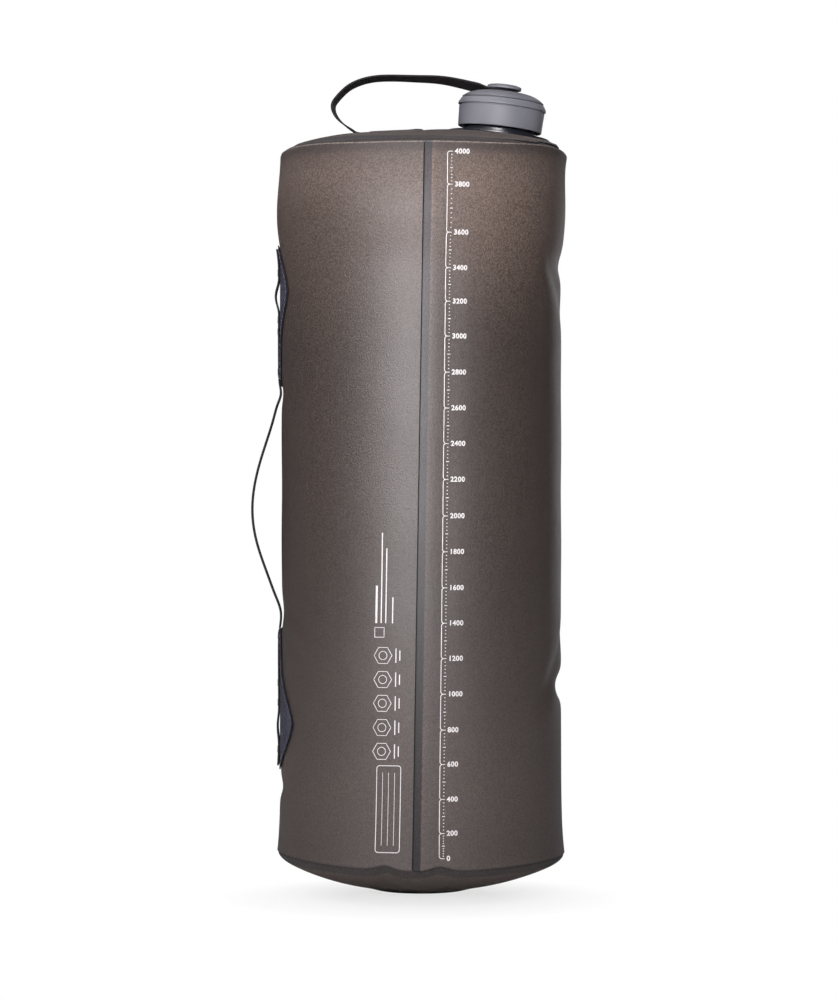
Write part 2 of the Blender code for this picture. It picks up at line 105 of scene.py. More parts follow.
def turnFacesOut(piece, merge=True, innerRadius=0):
    # joins doubled points, fills the innermost ring if asked and turns the faces out
    pickOnly(piece)
    bpy.ops.object.mode_set(mode="EDIT")
    bpy.ops.mesh.select_all(action="SELECT")
    if merge:
        bpy.ops.mesh.remove_doubles(threshold=weldDistance)
    if innerRadius:
        bpy.ops.mesh.select_all(action="DESELECT")
        work = bmesh.from_edit_mesh(piece.data)
        for edge in work.edges:
            if edge.is_boundary and all(hypot(*v.co.xy) < innerRadius for v in edge.verts):
                edge.select_set(True)
        bmesh.update_edit_mesh(piece.data)
        bpy.ops.mesh.edge_face_add()
        bpy.ops.mesh.select_all(action="SELECT")
    bpy.ops.mesh.normals_make_consistent(inside=False)
    bpy.ops.object.mode_set(mode="OBJECT")


def thicken(piece, thickness):
    solid = piece.modifiers.new("thickness", "SOLIDIFY")
    solid.thickness = thickness
    solid.offset = 0
    solid.use_even_offset = True
    applyModifiers(piece)


def softenEdges(piece):
    edge = piece.modifiers.new("softEdge", "BEVEL")
    edge.width, edge.segments = webbingEdge.width, webbingEdge.segments
    edge.limit_method = "ANGLE"
    edge.angle_limit = radians(webbingEdge.fromDegrees)
    applyModifiers(piece)


def dress(piece, surface, sharp, node=None, rides="root", soft=False, thickness=0, soften=False):
    # thickness, soft edges, shading, material, and place in the frame
    if thickness:
        thicken(piece, thickness)
    if soften:
        softenEdges(piece)
    pickOnly(piece)
    bpy.ops.object.shade_smooth_by_angle(angle=radians(sharp))
    piece.data.materials.clear()
    piece.data.materials.append(surface.data)
    if node:
        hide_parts(node)
    if rides:
        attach(piece, rides)
    if soft:
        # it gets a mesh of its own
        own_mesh(piece)
    return piece


def wrapGrid(name, columns, rows, place, uvOf=None, **values):
    # a flat grid whose points are moved to place(column, row); UVs are laid in millimetres
    piece = startPiece(name, bpy.ops.mesh.primitive_grid_add, size=2,
        x_subdivisions=len(columns) - 1, y_subdivisions=len(rows) - 1)
    keys = [(columns[round((vertex.co.x + 1) / 2 * (len(columns) - 1))],
        rows[round((vertex.co.y + 1) / 2 * (len(rows) - 1))]) for vertex in piece.data.vertices]
    for vertex, key in zip(piece.data.vertices, keys):
        vertex.co = place(*key)
    if uvOf:
        layer = piece.data.uv_layers.active
        for loop in piece.data.loops:
            layer.data[loop.index].uv = Vector(uvOf(*keys[loop.vertex_index])) * mm
    for valueName, valueOf in values.items():
        attribute = piece.data.attributes.new(valueName, "FLOAT", "POINT")
        for index, key in enumerate(keys):
            attribute.data[index].value = valueOf(*key)
    return piece


def curveToMesh(name, curve):
    piece = bpy.data.objects.new(name, curve)
    bpy.context.scene.collection.objects.link(piece)
    pickOnly(piece)
    bpy.ops.object.convert(target="MESH")
    return bpy.context.active_object


def drawTubes(name, runs, radius):
    # runs of points as bevelled splines on one curve, made a mesh
    curve = bpy.data.curves.new(name, "CURVE")
    curve.dimensions = "3D"
    curve.bevel_depth = radius
    curve.bevel_resolution = 1
    curve.use_fill_caps = True
    for points in runs:
        spline = curve.splines.new("POLY")
        spline.points.add(len(points) - 1)
        for place, point in zip(spline.points, points):
            place.co = (*point, 1)
    return curveToMesh(name, curve)


def evenSteps(low, high, count):
    return [low + (high - low) * i / count for i in range(count + 1)]


def smoothStep(value):
    value = min(max(value, 0), 1)
    return value * value * (3 - 2 * value)


def wave(share):
    return sin(pi * min(max(share, 0), 1)) ** 2


def hump(value):
    return exp(-(value**2))


def turnBetween(angle, other):
    return (angle - other + pi) % (2 * pi) - pi


def atAngle(radius, angle, height):
    return Vector((radius * cos(angle), radius * sin(angle), height))


def rollOver(before, corner, after, share):
    # a point of a rounded corner between two flat stretches
    return before * (1 - share) ** 2 + corner * 2 * share * (1 - share) + after * share**2


def smoothPoints(points, step):
    # Catmull-Rom curve through flat points
    ends = [2 * points[0] - points[1], *points, 2 * points[-1] - points[-2]]
    curve = []
    for before, start, end, after in zip(ends, ends[1:], ends[2:], ends[3:]):
        count = max(1, round((end - start).length / step))
        for t in evenSteps(0, 1, count)[:-1]:
            curve.append(0.5 * (2 * start + (end - before) * t + (2 * before - 5 * start + 4 * end - after) * t**2
                + (3 * start - before - 3 * end + after) * t**3))
    return [*curve, points[-1]]


def readTable(table, value):
    for (low, first), (high, second) in zip(table, table[1:]):
        if value <= high:
            return first + (second - first) * (value - low) / (high - low)
    return table[-1][1]


# materials

class Surface:
    # a material or world, with short ways to add its nodes
    def __init__(self, data, shader="Principled BSDF", **settings):
        data.use_nodes = True
        self.data, self.tree = data, data.node_tree
        self.shader = self.tree.nodes[shader]
        self.shade(**settings)
        coordinates = self.node("TexCoord").outputs
        self.place, self.uv = coordinates["Object"], coordinates["UV"]

    def give(self, socket, value):
        if isinstance(value, bpy.types.NodeSocket):
            self.tree.links.new(value, socket)
        else:
            socket.default_value = value

    def shade(self, **settings):
        for name, value in settings.items():
            self.give(self.shader.inputs[name.replace("_", " ")], value)

    def node(self, kind, inputs=None, **settings):
        node = self.tree.nodes.new("ShaderNode" + kind)
        for name, value in settings.items():
            setattr(node, name, value)
        for name, value in (inputs or {}).items():
            self.give(node.inputs[name], value)
        return node

    def ramp(self, value, stops):
        ramp = self.node("ValToRGB", {"Fac": value})
        elements = ramp.color_ramp.elements
        while len(elements) < len(stops):
            elements.new(0.5)
        for element, (position, colour) in zip(elements, stops):
            element.position = position
            element.color = (*colour, 1)
        return ramp.outputs["Color"]

    def mix(self, factor, first, second, mode="MIX"):
        first, second = [(*value, 1) if isinstance(value, tuple) else value for value in (first, second)]
        return self.node("Mix", {0: factor, 6: first, 7: second}, data_type="RGBA", blend_type=mode).outputs[2]

    def times(self, colour, other, factor=1):
        return self.mix(factor, colour, other, "MULTIPLY")

    def doubled(self, colour):
        return self.mix(1, colour, colour, "ADD")

    def math(self, kind, first, second, **settings):
        return self.node("Math", {0: first, 1: second}, operation=kind, **settings).outputs[0]

    def vector(self, kind, inputs, output="Vector"):
        return self.node("VectorMath", inputs, operation=kind).outputs[output]

    def spread(self, value, fromLow, fromHigh, toLow=0, toHigh=1):
        inputs = {"Value": value, "From Min": fromLow, "From Max": fromHigh, "To Min": toLow, "To Max": toHigh}
        return self.node("MapRange", inputs).outputs["Result"]

    def noise(self, scale, detail=2, roughness=0.5):
        inputs = {"Vector": self.place, "Scale": scale, "Detail": detail, "Roughness": roughness}
        return self.node("TexNoise", inputs).outputs["Fac"]

    def weave(self, vector, width, height, gap, bright, dull):
        inputs = {"Vector": vector, "Scale": 1, "Brick Width": width, "Row Height": height, "Mortar Size": gap,
            "Mortar Smooth": 1, "Color1": (bright, bright, bright, 1), "Color2": (dull, dull, dull, 1),
            "Mortar": (0, 0, 0, 1)}
        return self.node("TexBrick", inputs).outputs["Color"]

    def attribute(self, name):
        return self.node("Attribute", attribute_name=name).outputs["Fac"]

    def bump(self, *layers):
        # (height, strength, distance), each layer over the one before
        inputs = {}
        for height, strength, distance in layers:
            inputs.update({"Height": height, "Strength": strength, "Distance": distance})
            inputs["Normal"] = self.node("Bump", inputs).outputs["Normal"]
        self.shade(Normal=inputs["Normal"])


def newMaterial(name, slot, roughness, specular, **settings):
    surface = Surface(bpy.data.materials.new(name), Roughness=roughness, Specular_IOR_Level=specular, **settings)
    surface.slot = slot
    return surface


plainTint = (0.5, 0.5, 0.5)
filmLook = Values(dark=(0.0245, 0.0156, 0.0112), light=(0.055, 0.0399, 0.0328), toneRange=(0.89, 1.11),
    grain=(2000, 2, 0.6), mottle=(1150, 3, 0.6), mottleBump=(0.35, 0.00015),
    grainBump=(0.5, 0.0003), cloudScale=20, cloudShade=(0.3, 0.7, 0.9, 1), gloss=(0.5, 1),
    # painted light and shade by height: how much lighter or darker the film's colour is made, and how much rougher
    heights=[(0, 1.9, 0.12), (0.012, 1.7, 0.16), (0.018, 1, 0.2), (0.045, 1.22, 0.18), (0.09, 1.03, 0.08),
    (0.132, 0.94, 0.01), (0.175, 1, 0), (0.24, 1, 0), (0.275, 1.45, 0.02), (0.302, 1.9, 0.06),
    (0.318, 2.3, 0.2), (0.334, 1.35, 0.2), (0.342, 1.05, 0.2)],
    # painted pool of light where light shines through the upper film, right of the weld: place, near, far, gain
    throughLight=((0.028, -0.057, 0.298), 0.006, 0.045, 1.6),
    # tints by distance from a weld's edge, in millimetres: wall welds from 0, top rim from 20, bottom rim from 30; at
    # the wall welds a painted shadow on the cut edge and a pale painted highlight where the lower film ends, around
    # the welded band's own darker tint; the bottom rim's dark band is partly painted shade under the wall's edge
    topBand=20, bottomBand=30, seamReach=40, farFromWeld=12, rollBand=2.6, bandReach=8,
    seamTints=[((0.06, 0.06, 0.075), 0, 0.4), ((0.19, 0.22, 0.315), 0.55, 2.9), ((0.62, 0.61, 0.61), 3.3, 3.7),
    (plainTint, 4.5, 19), ((0.22, 0.245, 0.31), 20, 25.6), (plainTint, 27.4, 29),
    ((0.2, 0.21, 0.25), 30, 32), (plainTint, 32.6, 40)],
    # painted shade and highlight near a wall's cut edge, against the plain one: darker on the bottom edge, painted
    # shade a few millimetres below the top edge and a pale painted highlight on the top edge itself
    edgeReach=6, trimPlain=0.3, trimTints=[(0, (0.1, 0.1, 0.11)), (0.03, (0.1, 0.1, 0.11)), (0.05, (0.3, 0.3, 0.3)),
    (0.55, (0.3, 0.3, 0.3)), (0.78, (0.17, 0.165, 0.17)), (0.95, (0.15, 0.145, 0.15)),
    (0.97, (0.8, 0.95, 1)), (1, (0.8, 0.95, 1))],
    # roughness: of the open film, added on the bands at the ends, and on the wall's weld, most near the foot
    roughness=(0.3, 0.7, 0.48, 0.54), bandMatt=(19, 19.5, 0, 0.45),
    weldMattByHeight=(0.05, 0.5, 0.26, 0.03), weldMattRange=(2.9, 3.6))


def makeFilm():
    look = filmLook
    film = newMaterial("frostedFilm", "film", *look.gloss)
    grain, mottle = film.noise(*look.grain), film.noise(*look.mottle)
    tone = film.spread(film.math("ADD", grain, mottle), *look.toneRange)
    colour = film.mix(tone, look.dark, look.light)
    cloud = film.spread(film.noise(look.cloudScale), *look.cloudShade)
    cloudTint = film.node("CombineColor", {"Red": cloud, "Green": cloud, "Blue": cloud})
    colour = film.times(colour, cloudTint.outputs["Color"])
    # painted light by height: the film's colour is made lighter near the top and a little near the foot, standing in
    # for light shining through the film
    highest = look.heights[-1][0]
    upShare = film.spread(film.node("SeparateXYZ", {"Vector": film.place}).outputs["Z"], 0, highest)
    paintedHeightLight = film.ramp(upShare, [(z / highest, (shade / 2,) * 3) for z, shade, _ in look.heights])
    rougher = film.ramp(upShare, [(z / highest, (more,) * 3) for z, _, more in look.heights])
    colour = film.times(colour, film.doubled(paintedHeightLight))
    # a painted pool of light on the film's colour, right of the weld
    spot, near, far, gain = look.throughLight
    away = film.vector("DISTANCE", {0: film.place, 1: spot}, "Value")
    colour = film.vector("SCALE", {0: colour, "Scale": film.spread(away, near, far, gain, 1)})
    # weld tints, with painted shadow and painted highlight lines at the wall welds
    seam, reach = film.attribute("seam"), look.seamReach
    stops = [(end / reach, tint) for tint, *ends in look.seamTints for end in ends]
    colour = film.times(colour, film.doubled(film.ramp(film.math("DIVIDE", seam, reach), stops)))
    # painted shade and painted highlight along the walls' cut edges
    edgeLightAndShade = film.ramp(film.spread(film.attribute("rimEdge"), -1, 1), look.trimTints)
    colour = film.times(colour, film.vector("SCALE", {0: edgeLightAndShade, "Scale": 1 / look.trimPlain}))
    rough = film.math("ADD", film.spread(mottle, *look.roughness), film.spread(seam, *look.bandMatt))
    lowMatt = film.spread(upShare, *look.weldMattByHeight)
    weldMatt = film.spread(seam, *look.weldMattRange, lowMatt, 0)
    rough = film.math("ADD", film.math("ADD", rough, rougher), weldMatt, use_clamp=True)
    film.shade(Base_Color=colour, Roughness=rough)
    film.bump((mottle, *look.mottleBump), (grain, *look.grainBump))
    return film


fabricLook = Values(dark=(0.036, 0.038, 0.054), light=(0.112, 0.115, 0.16), gloss=(0.75, 0.1),
    weave=(0.84, 0.42, 0.07, 0.8, 0.45), weaveShare=0.35, weaveBump=(0.6, 0.00012),
    speck=(1300, 2, 0.7), speckRange=(0.38, 0.68), speckBump=(0.4, 0.00012),
    border=[(0, (0.25, 0.25, 0.28)), (0.55, (0.3, 0.3, 0.33)), (0.8, (1, 1, 1))])


def makeFabric():
    look = fabricLook
    fabric = newMaterial("coatedFabric", "coated_fabric", *look.gloss)
    weave, speck = fabric.weave(fabric.uv, *look.weave), fabric.noise(*look.speck)
    colour = fabric.mix(fabric.spread(speck, *look.speckRange), look.dark, look.light)
    colour = fabric.times(colour, weave, look.weaveShare)
    colour = fabric.times(colour, fabric.ramp(fabric.attribute("border"), look.border))
    fabric.shade(Base_Color=colour)
    fabric.bump((weave, *look.weaveBump), (speck, *look.speckBump))
    return fabric


webbingLook = Values(dark=(0.008, 0.007, 0.008), light=(0.035, 0.03, 0.033), gloss=(0.72, 0.2),
    weave=(1.5, 0.62, 0.16, 1, 0.72), weaveBump=(0.9, 0.00022),
    fibre=(2600, 2, 0.6), fibreShare=0.35, fibreBump=(0.3, 0.00022))
webbingEdge = Values(width=0.00016, segments=2, fromDegrees=50)


def makeWebbing():
    look = webbingLook
    webbing = newMaterial("wovenWebbing", "webbing", *look.gloss)
    turned = webbing.node("Mapping", {"Vector": webbing.uv, "Rotation": (0, 0, pi / 2)}).outputs["Vector"]
    weave, fibre = webbing.weave(turned, *look.weave), webbing.noise(*look.fibre)
    share = webbing.mix(look.fibreShare, weave, fibre)
    webbing.shade(Base_Color=webbing.mix(share, look.dark, look.light))
    webbing.bump((weave, *look.weaveBump), (fibre, *look.fibreBump))
    return webbing


mouldedLook = Values(cloud=(60, 3), cloudRange=(0.35, 0.65), grain=(2, 0.6), grainStrength=0.3,
    inside=(0.012, 0.012, 0.015), glossRange=(0.3, 0.7), glossStep=0.05)


def makeMoulded(name, slot, dark, light, roughness, specular, grainScale, grainHeight):
    # moulded plastic: faint mottling, fine spark texture, softer gloss where it has been handled
    look = mouldedLook
    moulded = newMaterial(name, slot, roughness, specular)
    cloud, grain = moulded.noise(*look.cloud), moulded.noise(grainScale, *look.grain)
    outside = moulded.mix(moulded.spread(cloud, *look.cloudRange), dark, light)
    gloss = moulded.spread(cloud, *look.glossRange, roughness - look.glossStep, roughness + look.glossStep)
    moulded.shade(Base_Color=moulded.mix(moulded.attribute("inside"), outside, look.inside), Roughness=gloss)
    moulded.bump((grain, look.grainStrength, grainHeight))
    return moulded


inkLook = Values(wear=(1400, 3, 0.7), wearRange=(0.3, 0.55), bump=(0.2, 0.00003),
    worn=(0.5, 0.49, 0.48), fresh=(0.74, 0.73, 0.72), gloss=(0.5, 0.4))


def makeInk():
    look = inkLook
    ink = newMaterial("whiteInk", "film", *look.gloss)
    wear = ink.noise(*look.wear)
    ink.shade(Base_Color=ink.mix(ink.spread(wear, *look.wearRange), look.worn, look.fresh))
    ink.bump((wear, *look.bump))
    return ink


threadLook = Values(dark=(0.02, 0.021, 0.03), light=(0.1, 0.1, 0.125), gloss=(0.6, 0.5), sheen=0.2,
    twist=(900, 1.5), bump=(0.5, 0.00005))


def makeThread():
    look = threadLook
    thread = newMaterial("darkThread", "webbing", *look.gloss, Sheen_Weight=look.sheen)
    scale, distortion = look.twist
    inputs = {"Vector": thread.place, "Scale": scale, "Distortion": distortion}
    twist = thread.node("TexWave", inputs, bands_direction="DIAGONAL").outputs["Fac"]
    thread.shade(Base_Color=thread.mix(twist, look.dark, look.light))
    thread.bump((twist, *look.bump))
    return thread


film = makeFilm()
fabric = makeFabric()
webbing = makeWebbing()
glossBlack = makeMoulded("glossBlack", "gloss_black", (0.01, 0.011, 0.015), (0.016, 0.017, 0.022), 0.27, 0.5,
    1500, 0.00002)
capGrey = makeMoulded("capGrey", "cap_grey", (0.148, 0.153, 0.175), (0.176, 0.18, 0.203), 0.55, 0.42, 2600, 0.00005)
sealRubber = makeMoulded("sealRubber", "seal", (0.33, 0.33, 0.34), (0.38, 0.38, 0.39), 0.6, 0.35, 1200, 0.00003)
# near-black matt plastic for the painted shadow lines along the welds
paintedWeldShadow = makeMoulded("paintedWeldShadow", "film", (0.006, 0.006, 0.008), (0.012, 0.012, 0.015), 0.85, 0.15, 1800, 0.00003)
ink = makeInk()
thread = makeThread()
print("materials made")


# film envelope, with the same named values as the CAD

body = Values(film=0.0004, gap=0.0003, radius=0.0629, rimHeight=0.331, seamHeight=0.0164,
    rimFlare=0.0016, rimLean=0.0016, seamFlare=0.0016, flareLength=0.012,
    upperBulge=(0.0016, 0.055), rimTuck=(0.0006, 0.0025), rimDrop=0.0008,
    rimSides=(0.0009, 20, 72), rimDip=(0.002, 24), seamSag=(0.00105, 0.00295, 0.00055),
    lapWidth=0.0031, lapRight=0.0019, lapRamp=0.011, twist=4.6, weldOffset=0.35,
    plugStep=0.0005, clearance=0.0007, collapse=0.22,
    # depth, half width, low and high end, fade
    strapTrough=(0.0008, 0.0085, 0.045, 0.3, 0.02),
    puckerHalfWidth=0.0052, puckers=[(-3.05, 0.0022), (1.58, 0.00209)],
    # dents and creases: degrees, height, depth, half width, half height, slope
    dents=[(0, 0.091904, 0.00448, 0.01425, 0.00494, 0), (-6, 0.280035, 0.00176, 0.0165, 0.00572, 0),
    (180, 0.222463, 0.00112, 0.012, 0.00416, 0), (178, 0.124937, 0.00128, 0.0195, 0.00676, 0),
    (180, 0.046916, 0.0016, 0.012, 0.00416, 0), (-20, 0.0985, 0.0018, 0.02, 0.007, 0.75),
    (-33, 0.08, -0.0011, 0.016, 0.012, 0.5), (-14, 0.27, 0.0013, 0.016, 0.008, -0.7),
    (-152, 0.2335, -0.0005, 0.012, 0.0045, 0.45), (-150, 0.1165, -0.0005, 0.012, 0.0045, -0.5),
    (-120, 0.305, -0.0006, 0.03, 0.017, 0.1)],
    ripple=(0.0001, 0.047))
bodyRadius, rimHeight, seamHeight, gap = (body[key] for key in ("radius", "rimHeight", "seamHeight", "gap"))
rimRadius = bodyRadius + body.rimFlare
seamRadius = bodyRadius + body.seamFlare
wallHeight = rimHeight - seamHeight
crumpleShare = 1 - body.collapse / wallHeight
filmTop = body.film / 2
puckerAngles = [front + reach * body.puckerHalfWidth / seamRadius for reach, _ in body.puckers]


def seamLine(angle):
    # the bottom weld hangs lower at the front and stands a little higher on the strap's side
    rise, sag, lean = body.seamSag
    lift = rise - sag * max(0, cos(angle - front)) ** 2 - lean * cos(angle)
    for centre, (_, height) in zip(puckerAngles, body.puckers):
        lift += height * hump(turnBetween(angle, centre) * seamRadius / body.puckerHalfWidth)
    return seamHeight + lift


def rimDip(angle):
    # the rim hangs lower beside the cap
    depth, power = body.rimDip
    return depth * max(0, cos(angle)) ** power


def rimLine(angle):
    # the wall's top edge stands a little higher on both sides of the front
    lift, start, length = body.rimSides
    lift *= wave((abs(turnBetween(angle, front)) - radians(start)) / radians(length))
    return rimHeight - body.rimDrop + lift - rimDip(angle)


def wallRadius(angle, height):
    fromRim = rimHeight - height
    radius = bodyRadius + (body.rimFlare + body.rimLean * cos(angle)) * exp(-fromRim / body.flareLength)
    radius += body.seamFlare * exp(-abs(height - seamHeight) / body.flareLength)
    depth, length = body.rimTuck
    radius -= depth * smoothStep(1 - fromRim / length)
    depth, length = body.upperBulge
    radius += depth * wave(fromRim / length)
    for turn, centre, depth, halfWidth, halfHeight, slope in body.dents:
        arc = turnBetween(angle, radians(turn)) * bodyRadius
        along = (height - centre - slope * arc) / halfHeight
        radius -= depth * exp(-((arc / halfWidth) ** 2) - along**2)
    depth, halfWidth, low, high, fade = body.strapTrough
    along = smoothStep((height - low) / fade) * smoothStep((high - height) / fade)
    radius -= depth * along * hump(turnBetween(angle, left) * bodyRadius / halfWidth)
    depth, length = body.ripple
    ripple = sin(2 * pi * height / length + 2 * sin(3 * angle)) * sin(2 * angle + 1.3)
    return radius + depth * ripple * wave((height - seamHeight) / wallHeight)


def insideFold(angle, outer, anchor, height):
    # inside the wall also when the wall has crumpled
    return min(outer, wallRadius(angle, anchor + (height - anchor) / crumpleShare) - body.clearance)


def weldTwist(height, twist=body.twist):
    share = (height - (rimHeight + seamHeight) / 2) / wallHeight
    return radians(body.weldOffset + twist * share)


def lapLift(fromEdge):
    return (body.film + gap) * (1 - smoothStep((fromEdge - body.lapWidth) / body.lapRamp))


wall = Values(columns=132, rows=200, edgeRows=(0.0003, 0.0006, 0.001, 0.0015), sharp=35)


def buildWall(name, startAngle, node):
    length = pi * bodyRadius + body.lapWidth

    def place(arc, share):
        angle = startAngle + (body.lapRight - arc) / bodyRadius
        low = seamLine(angle + weldTwist(seamHeight))
        height = low + share * (rimLine(angle) - low)
        angle += weldTwist(height)
        return atAngle(wallRadius(angle, height) + lapLift(length - arc), angle, height)

    def edgeValue(arc, share):
        # 1 at the top edge and -1 at the bottom one, 0 away from both
        fromTop, fromBottom = (1 - share) * wallHeight * mm, share * wallHeight * mm
        return max(0, 1 - fromTop / filmLook.edgeReach) - max(0, 1 - fromBottom / filmLook.edgeReach)

    fine = [step / wallHeight for step in wall.edgeRows]
    rows = sorted({*evenSteps(0, 1, wall.rows), *fine, *(1 - step for step in fine)})
    piece = wrapGrid(name, evenSteps(0, length, wall.columns), rows, place,
        uvOf=lambda arc, share: (arc, share * wallHeight),
        seam=lambda arc, share: min((length - arc) * mm, filmLook.farFromWeld), rimEdge=edgeValue)
    dress(piece, film, wall.sharp, node, soft=True, thickness=body.film)


buildWall("filmWallRight", front + pi, "panel_right")
buildWall("filmWallLeft", front, "panel_left")
print("film walls built")


def endSeam(start, ring, inward):
    # an end's seam value: the band's own at the skirt, rising over the roll, then with the way inwards
    kind, amount = ring
    if kind == "skirt":
        return start
    if kind == "roll":
        return start + filmLook.rollBand * (1 - amount)
    return start + min(filmLook.bandReach, inward)


def finishEnd(piece, node, rides, innerRadius=0):
    turnFacesOut(piece, innerRadius=innerRadius)
    dress(piece, film, 50, node, rides, thickness=body.film)


bottomEnd = Values(foot=0.0195, skirt=0.004, drop=0.0021, roll=0.0013, columns=240, ringStep=0.0012,
    footRings=(0.02, 0.78, 6), hole=0.03, skirtRings=(0.5, 0.7, 0.85, 1),
    profile=[(0, 0), (0.13, 0.1), (0.36, 0.245), (0.55, 0.4), (0.75, 0.61), (0.91, 0.82), (1, 1)],
    # depth, half width, and on the way out where they start and how long they are
    foldDepth=0.0004, foldWidth=0.003, foldReach=(0.2, 0.75), radialReach=(0.02, 0.6),
    radialFolds=[(-96, 0.0007, 0.0024), (-104, -0.0005, 0.003), (-84, -0.0006, 0.0028), (-76, 0.0005, 0.0026),
    (-118, 0.0004, 0.004), (-60, -0.0004, 0.004)])


def buildBottom():
    part = bottomEnd
    foot, drop, roll = part.foot, part.drop, part.roll
    span = seamRadius - foot
    corners = [Vector((foot + share * span, rise * seamHeight)) for share, rise in part.profile]
    curve = smoothPoints([Vector((foot * 0.8, 0)), *corners], part.ringStep)[1:]
    profileCurve = [((point.x - foot) / span, max(0, point.y) / seamHeight) for point in curve if point.x >= foot]
    rings = [("foot", share) for share in evenSteps(*part.footRings)]
    rings += [("dish", point.x) for point in curve if point.x < seamRadius - 2 * roll]
    rings += [("roll", share) for share in evenSteps(0, 1, 6)]
    rings += [("skirt", share) for share in part.skirtRings]
    weld = front + weldTwist(seamHeight)
    folds = [(angle, part.foldDepth, part.foldWidth, part.foldReach) for angle in puckerAngles]
    folds += [(radians(turn), depth, width, part.radialReach) for turn, depth, width in part.radialFolds]

    def place(angle, ring):
        kind, amount = ring
        seam = seamLine(angle)
        outer = wallRadius(angle, seam) - body.plugStep
        corner = atAngle(outer, angle, seam - drop)
        if kind == "foot":
            return atAngle(foot * amount, angle, filmTop)
        if kind == "skirt":
            height = seam - drop + amount * part.skirt
            return atAngle(insideFold(angle, outer, seam, height) if height > seam else outer, angle, height)
        if kind == "roll":
            before = dishPoint(angle, seamRadius - 2 * roll, outer, seam)
            return rollOver(before, corner, corner + Vector((0, 0, roll)), amount)
        return dishPoint(angle, amount, outer, seam)

    def dishPoint(angle, reach, outer, seam):
        share = max(0, (reach - foot) / span)
        radius = foot + share * (outer - foot) if reach > foot else reach
        rise = readTable(profileCurve, min(share, 1)) if share else 0
        height = filmTop + rise * (seamHeight - drop - filmTop) + (seam - seamHeight) * (radius / outer) ** 4
        for centre, depth, width, (start, length) in folds:
            across = turnBetween(angle, centre) * radius / width
            height += depth * hump(across) * wave((share - start) / length)
        return atAngle(radius, angle, height)

    def seamValue(angle, ring):
        kind, amount = ring
        return endSeam(filmLook.bottomBand, ring, (seamRadius - amount) * mm if kind == "dish" else inf)

    angles = evenSteps(weld - pi, weld + pi, part.columns)
    piece = wrapGrid("filmBottom", angles, rings, place, seam=seamValue)
    finishEnd(piece, "bottom_panel", "root", foot * part.hole)


buildBottom()
print("bottom end built")


# top end

capSeat = Values(offset=0.035, tilt=radians(6.5), domeHeight=0.0089, fullness=(2.8, 0.006, 0.03),
    frontDip=(0.0009, 0.01, 0.016, 0.02), flange=0.023, land=0.0012, blend=0.018, bore=0.0126)
capOffset, capTilt, bore = capSeat.offset, capSeat.tilt, capSeat.bore
landRadius = capSeat.flange + capSeat.land


def domeTop(x, y):
    # the dome alone, about the rim's centre, which leans towards the cap
    return rimHeight + capSeat.domeHeight * (1 - (hypot(x - body.rimLean, y) / rimRadius) ** 2)


def flangePlane(x):
    return domeTop(capOffset, 0) - tan(capTilt) * (x - capOffset)


def shoulderHeight(x, y):
    dome = domeTop(x, y)
    angle = atan2(y, x - capOffset)
    fromCentre = capOffset - body.rimLean
    toRim = sqrt(rimRadius**2 - (fromCentre * sin(angle)) ** 2) - fromCentre * cos(angle)
    share = smoothStep((hypot(x - capOffset, y) - landRadius) / min(capSeat.blend, toRim - landRadius))
    # the leash's side of the dome is fuller
    power, start, length = capSeat.fullness
    outShare = min(1, hypot(x - body.rimLean, y) / rimRadius)
    dome += capSeat.domeHeight * (outShare**2 - outShare**power) * smoothStep((-x - start) / length)
    depth, start, length, across = capSeat.frontDip
    dome -= depth * smoothStep((x + start) / length) * smoothStep(-y / across) * wave(outShare)
    return flangePlane(x) * (1 - share) + dome * share


topEnd = Values(skirt=0.006, rise=0.0004, roll=0.0028, rollEnds=(0.32, 0.4, 1.25), liftStart=0.55,
    columns=240, rings=44, skirtRings=(0.3, 0.45, 0.6, 0.8, 1), wrinkle=0.00018)


def buildTop():
    part = topEnd
    hole, roll, liftStart = bore + gap, part.roll, part.liftStart
    above, below, before = (roll * share for share in part.rollEnds)
    rings = [("flat", out) for out in evenSteps(hole, landRadius, 5)]
    rings += [("shoulder", share) for share in evenSteps(0, 1, part.rings)[1:-1]]
    rings += [("roll", share) for share in evenSteps(0, 1, 6)]
    rings += [("skirt", share) for share in part.skirtRings]

    def behindWall(angle, height):
        outer = wallRadius(angle, rimHeight) - body.plugStep
        return atAngle(insideFold(angle, outer, rimHeight, height), angle, height)

    def place(angle, ring):
        kind, amount = ring
        edge = behindWall(angle, rimHeight + part.rise - rimDip(angle))
        if kind == "skirt":
            return behindWall(angle, edge.z - amount * part.skirt)
        if kind == "roll":
            start = atAngle(hypot(edge.x, edge.y) - roll, angle, edge.z + above)
            return rollOver(start, edge, behindWall(angle, edge.z - below), amount)
        out = amount if kind == "flat" else landRadius
        inner = Vector((capOffset + out * cos(angle), out * sin(angle), 0))
        if kind == "flat":
            return Vector((inner.x, inner.y, flangePlane(inner.x)))
        reach = hypot(edge.x - inner.x, edge.y - inner.y)
        point = inner.lerp(edge, amount * (1 - before / reach))
        point.z = shoulderHeight(point.x, point.y)
        point.z += (part.rise - rimDip(angle)) * smoothStep((amount - liftStart) / (1 - liftStart))
        point.z += part.wrinkle * sin(9 * angle + 4 * amount) * wave(amount)
        return point

    def seamValue(angle, ring):
        kind, amount = ring
        inner = Vector((capOffset + landRadius * cos(angle), landRadius * sin(angle), 0))
        reach = (atAngle(rimRadius, angle, 0) - inner).length * (1 - amount) * mm
        return endSeam(filmLook.topBand, ring, filmLook.rollBand + reach if kind == "shoulder" else inf)

    piece = wrapGrid("filmTop", evenSteps(0, 2 * pi, part.columns), rings, place, seam=seamValue)
    finishEnd(piece, "top_panel", "top_end")


buildTop()
print("top end built")


# turned pieces, in heights above the shoulder along the cap's axis

capMatrix = Matrix.Translation((capOffset, 0, flangePlane(capOffset))) @ Matrix.Rotation(capTilt, 4, "Y")


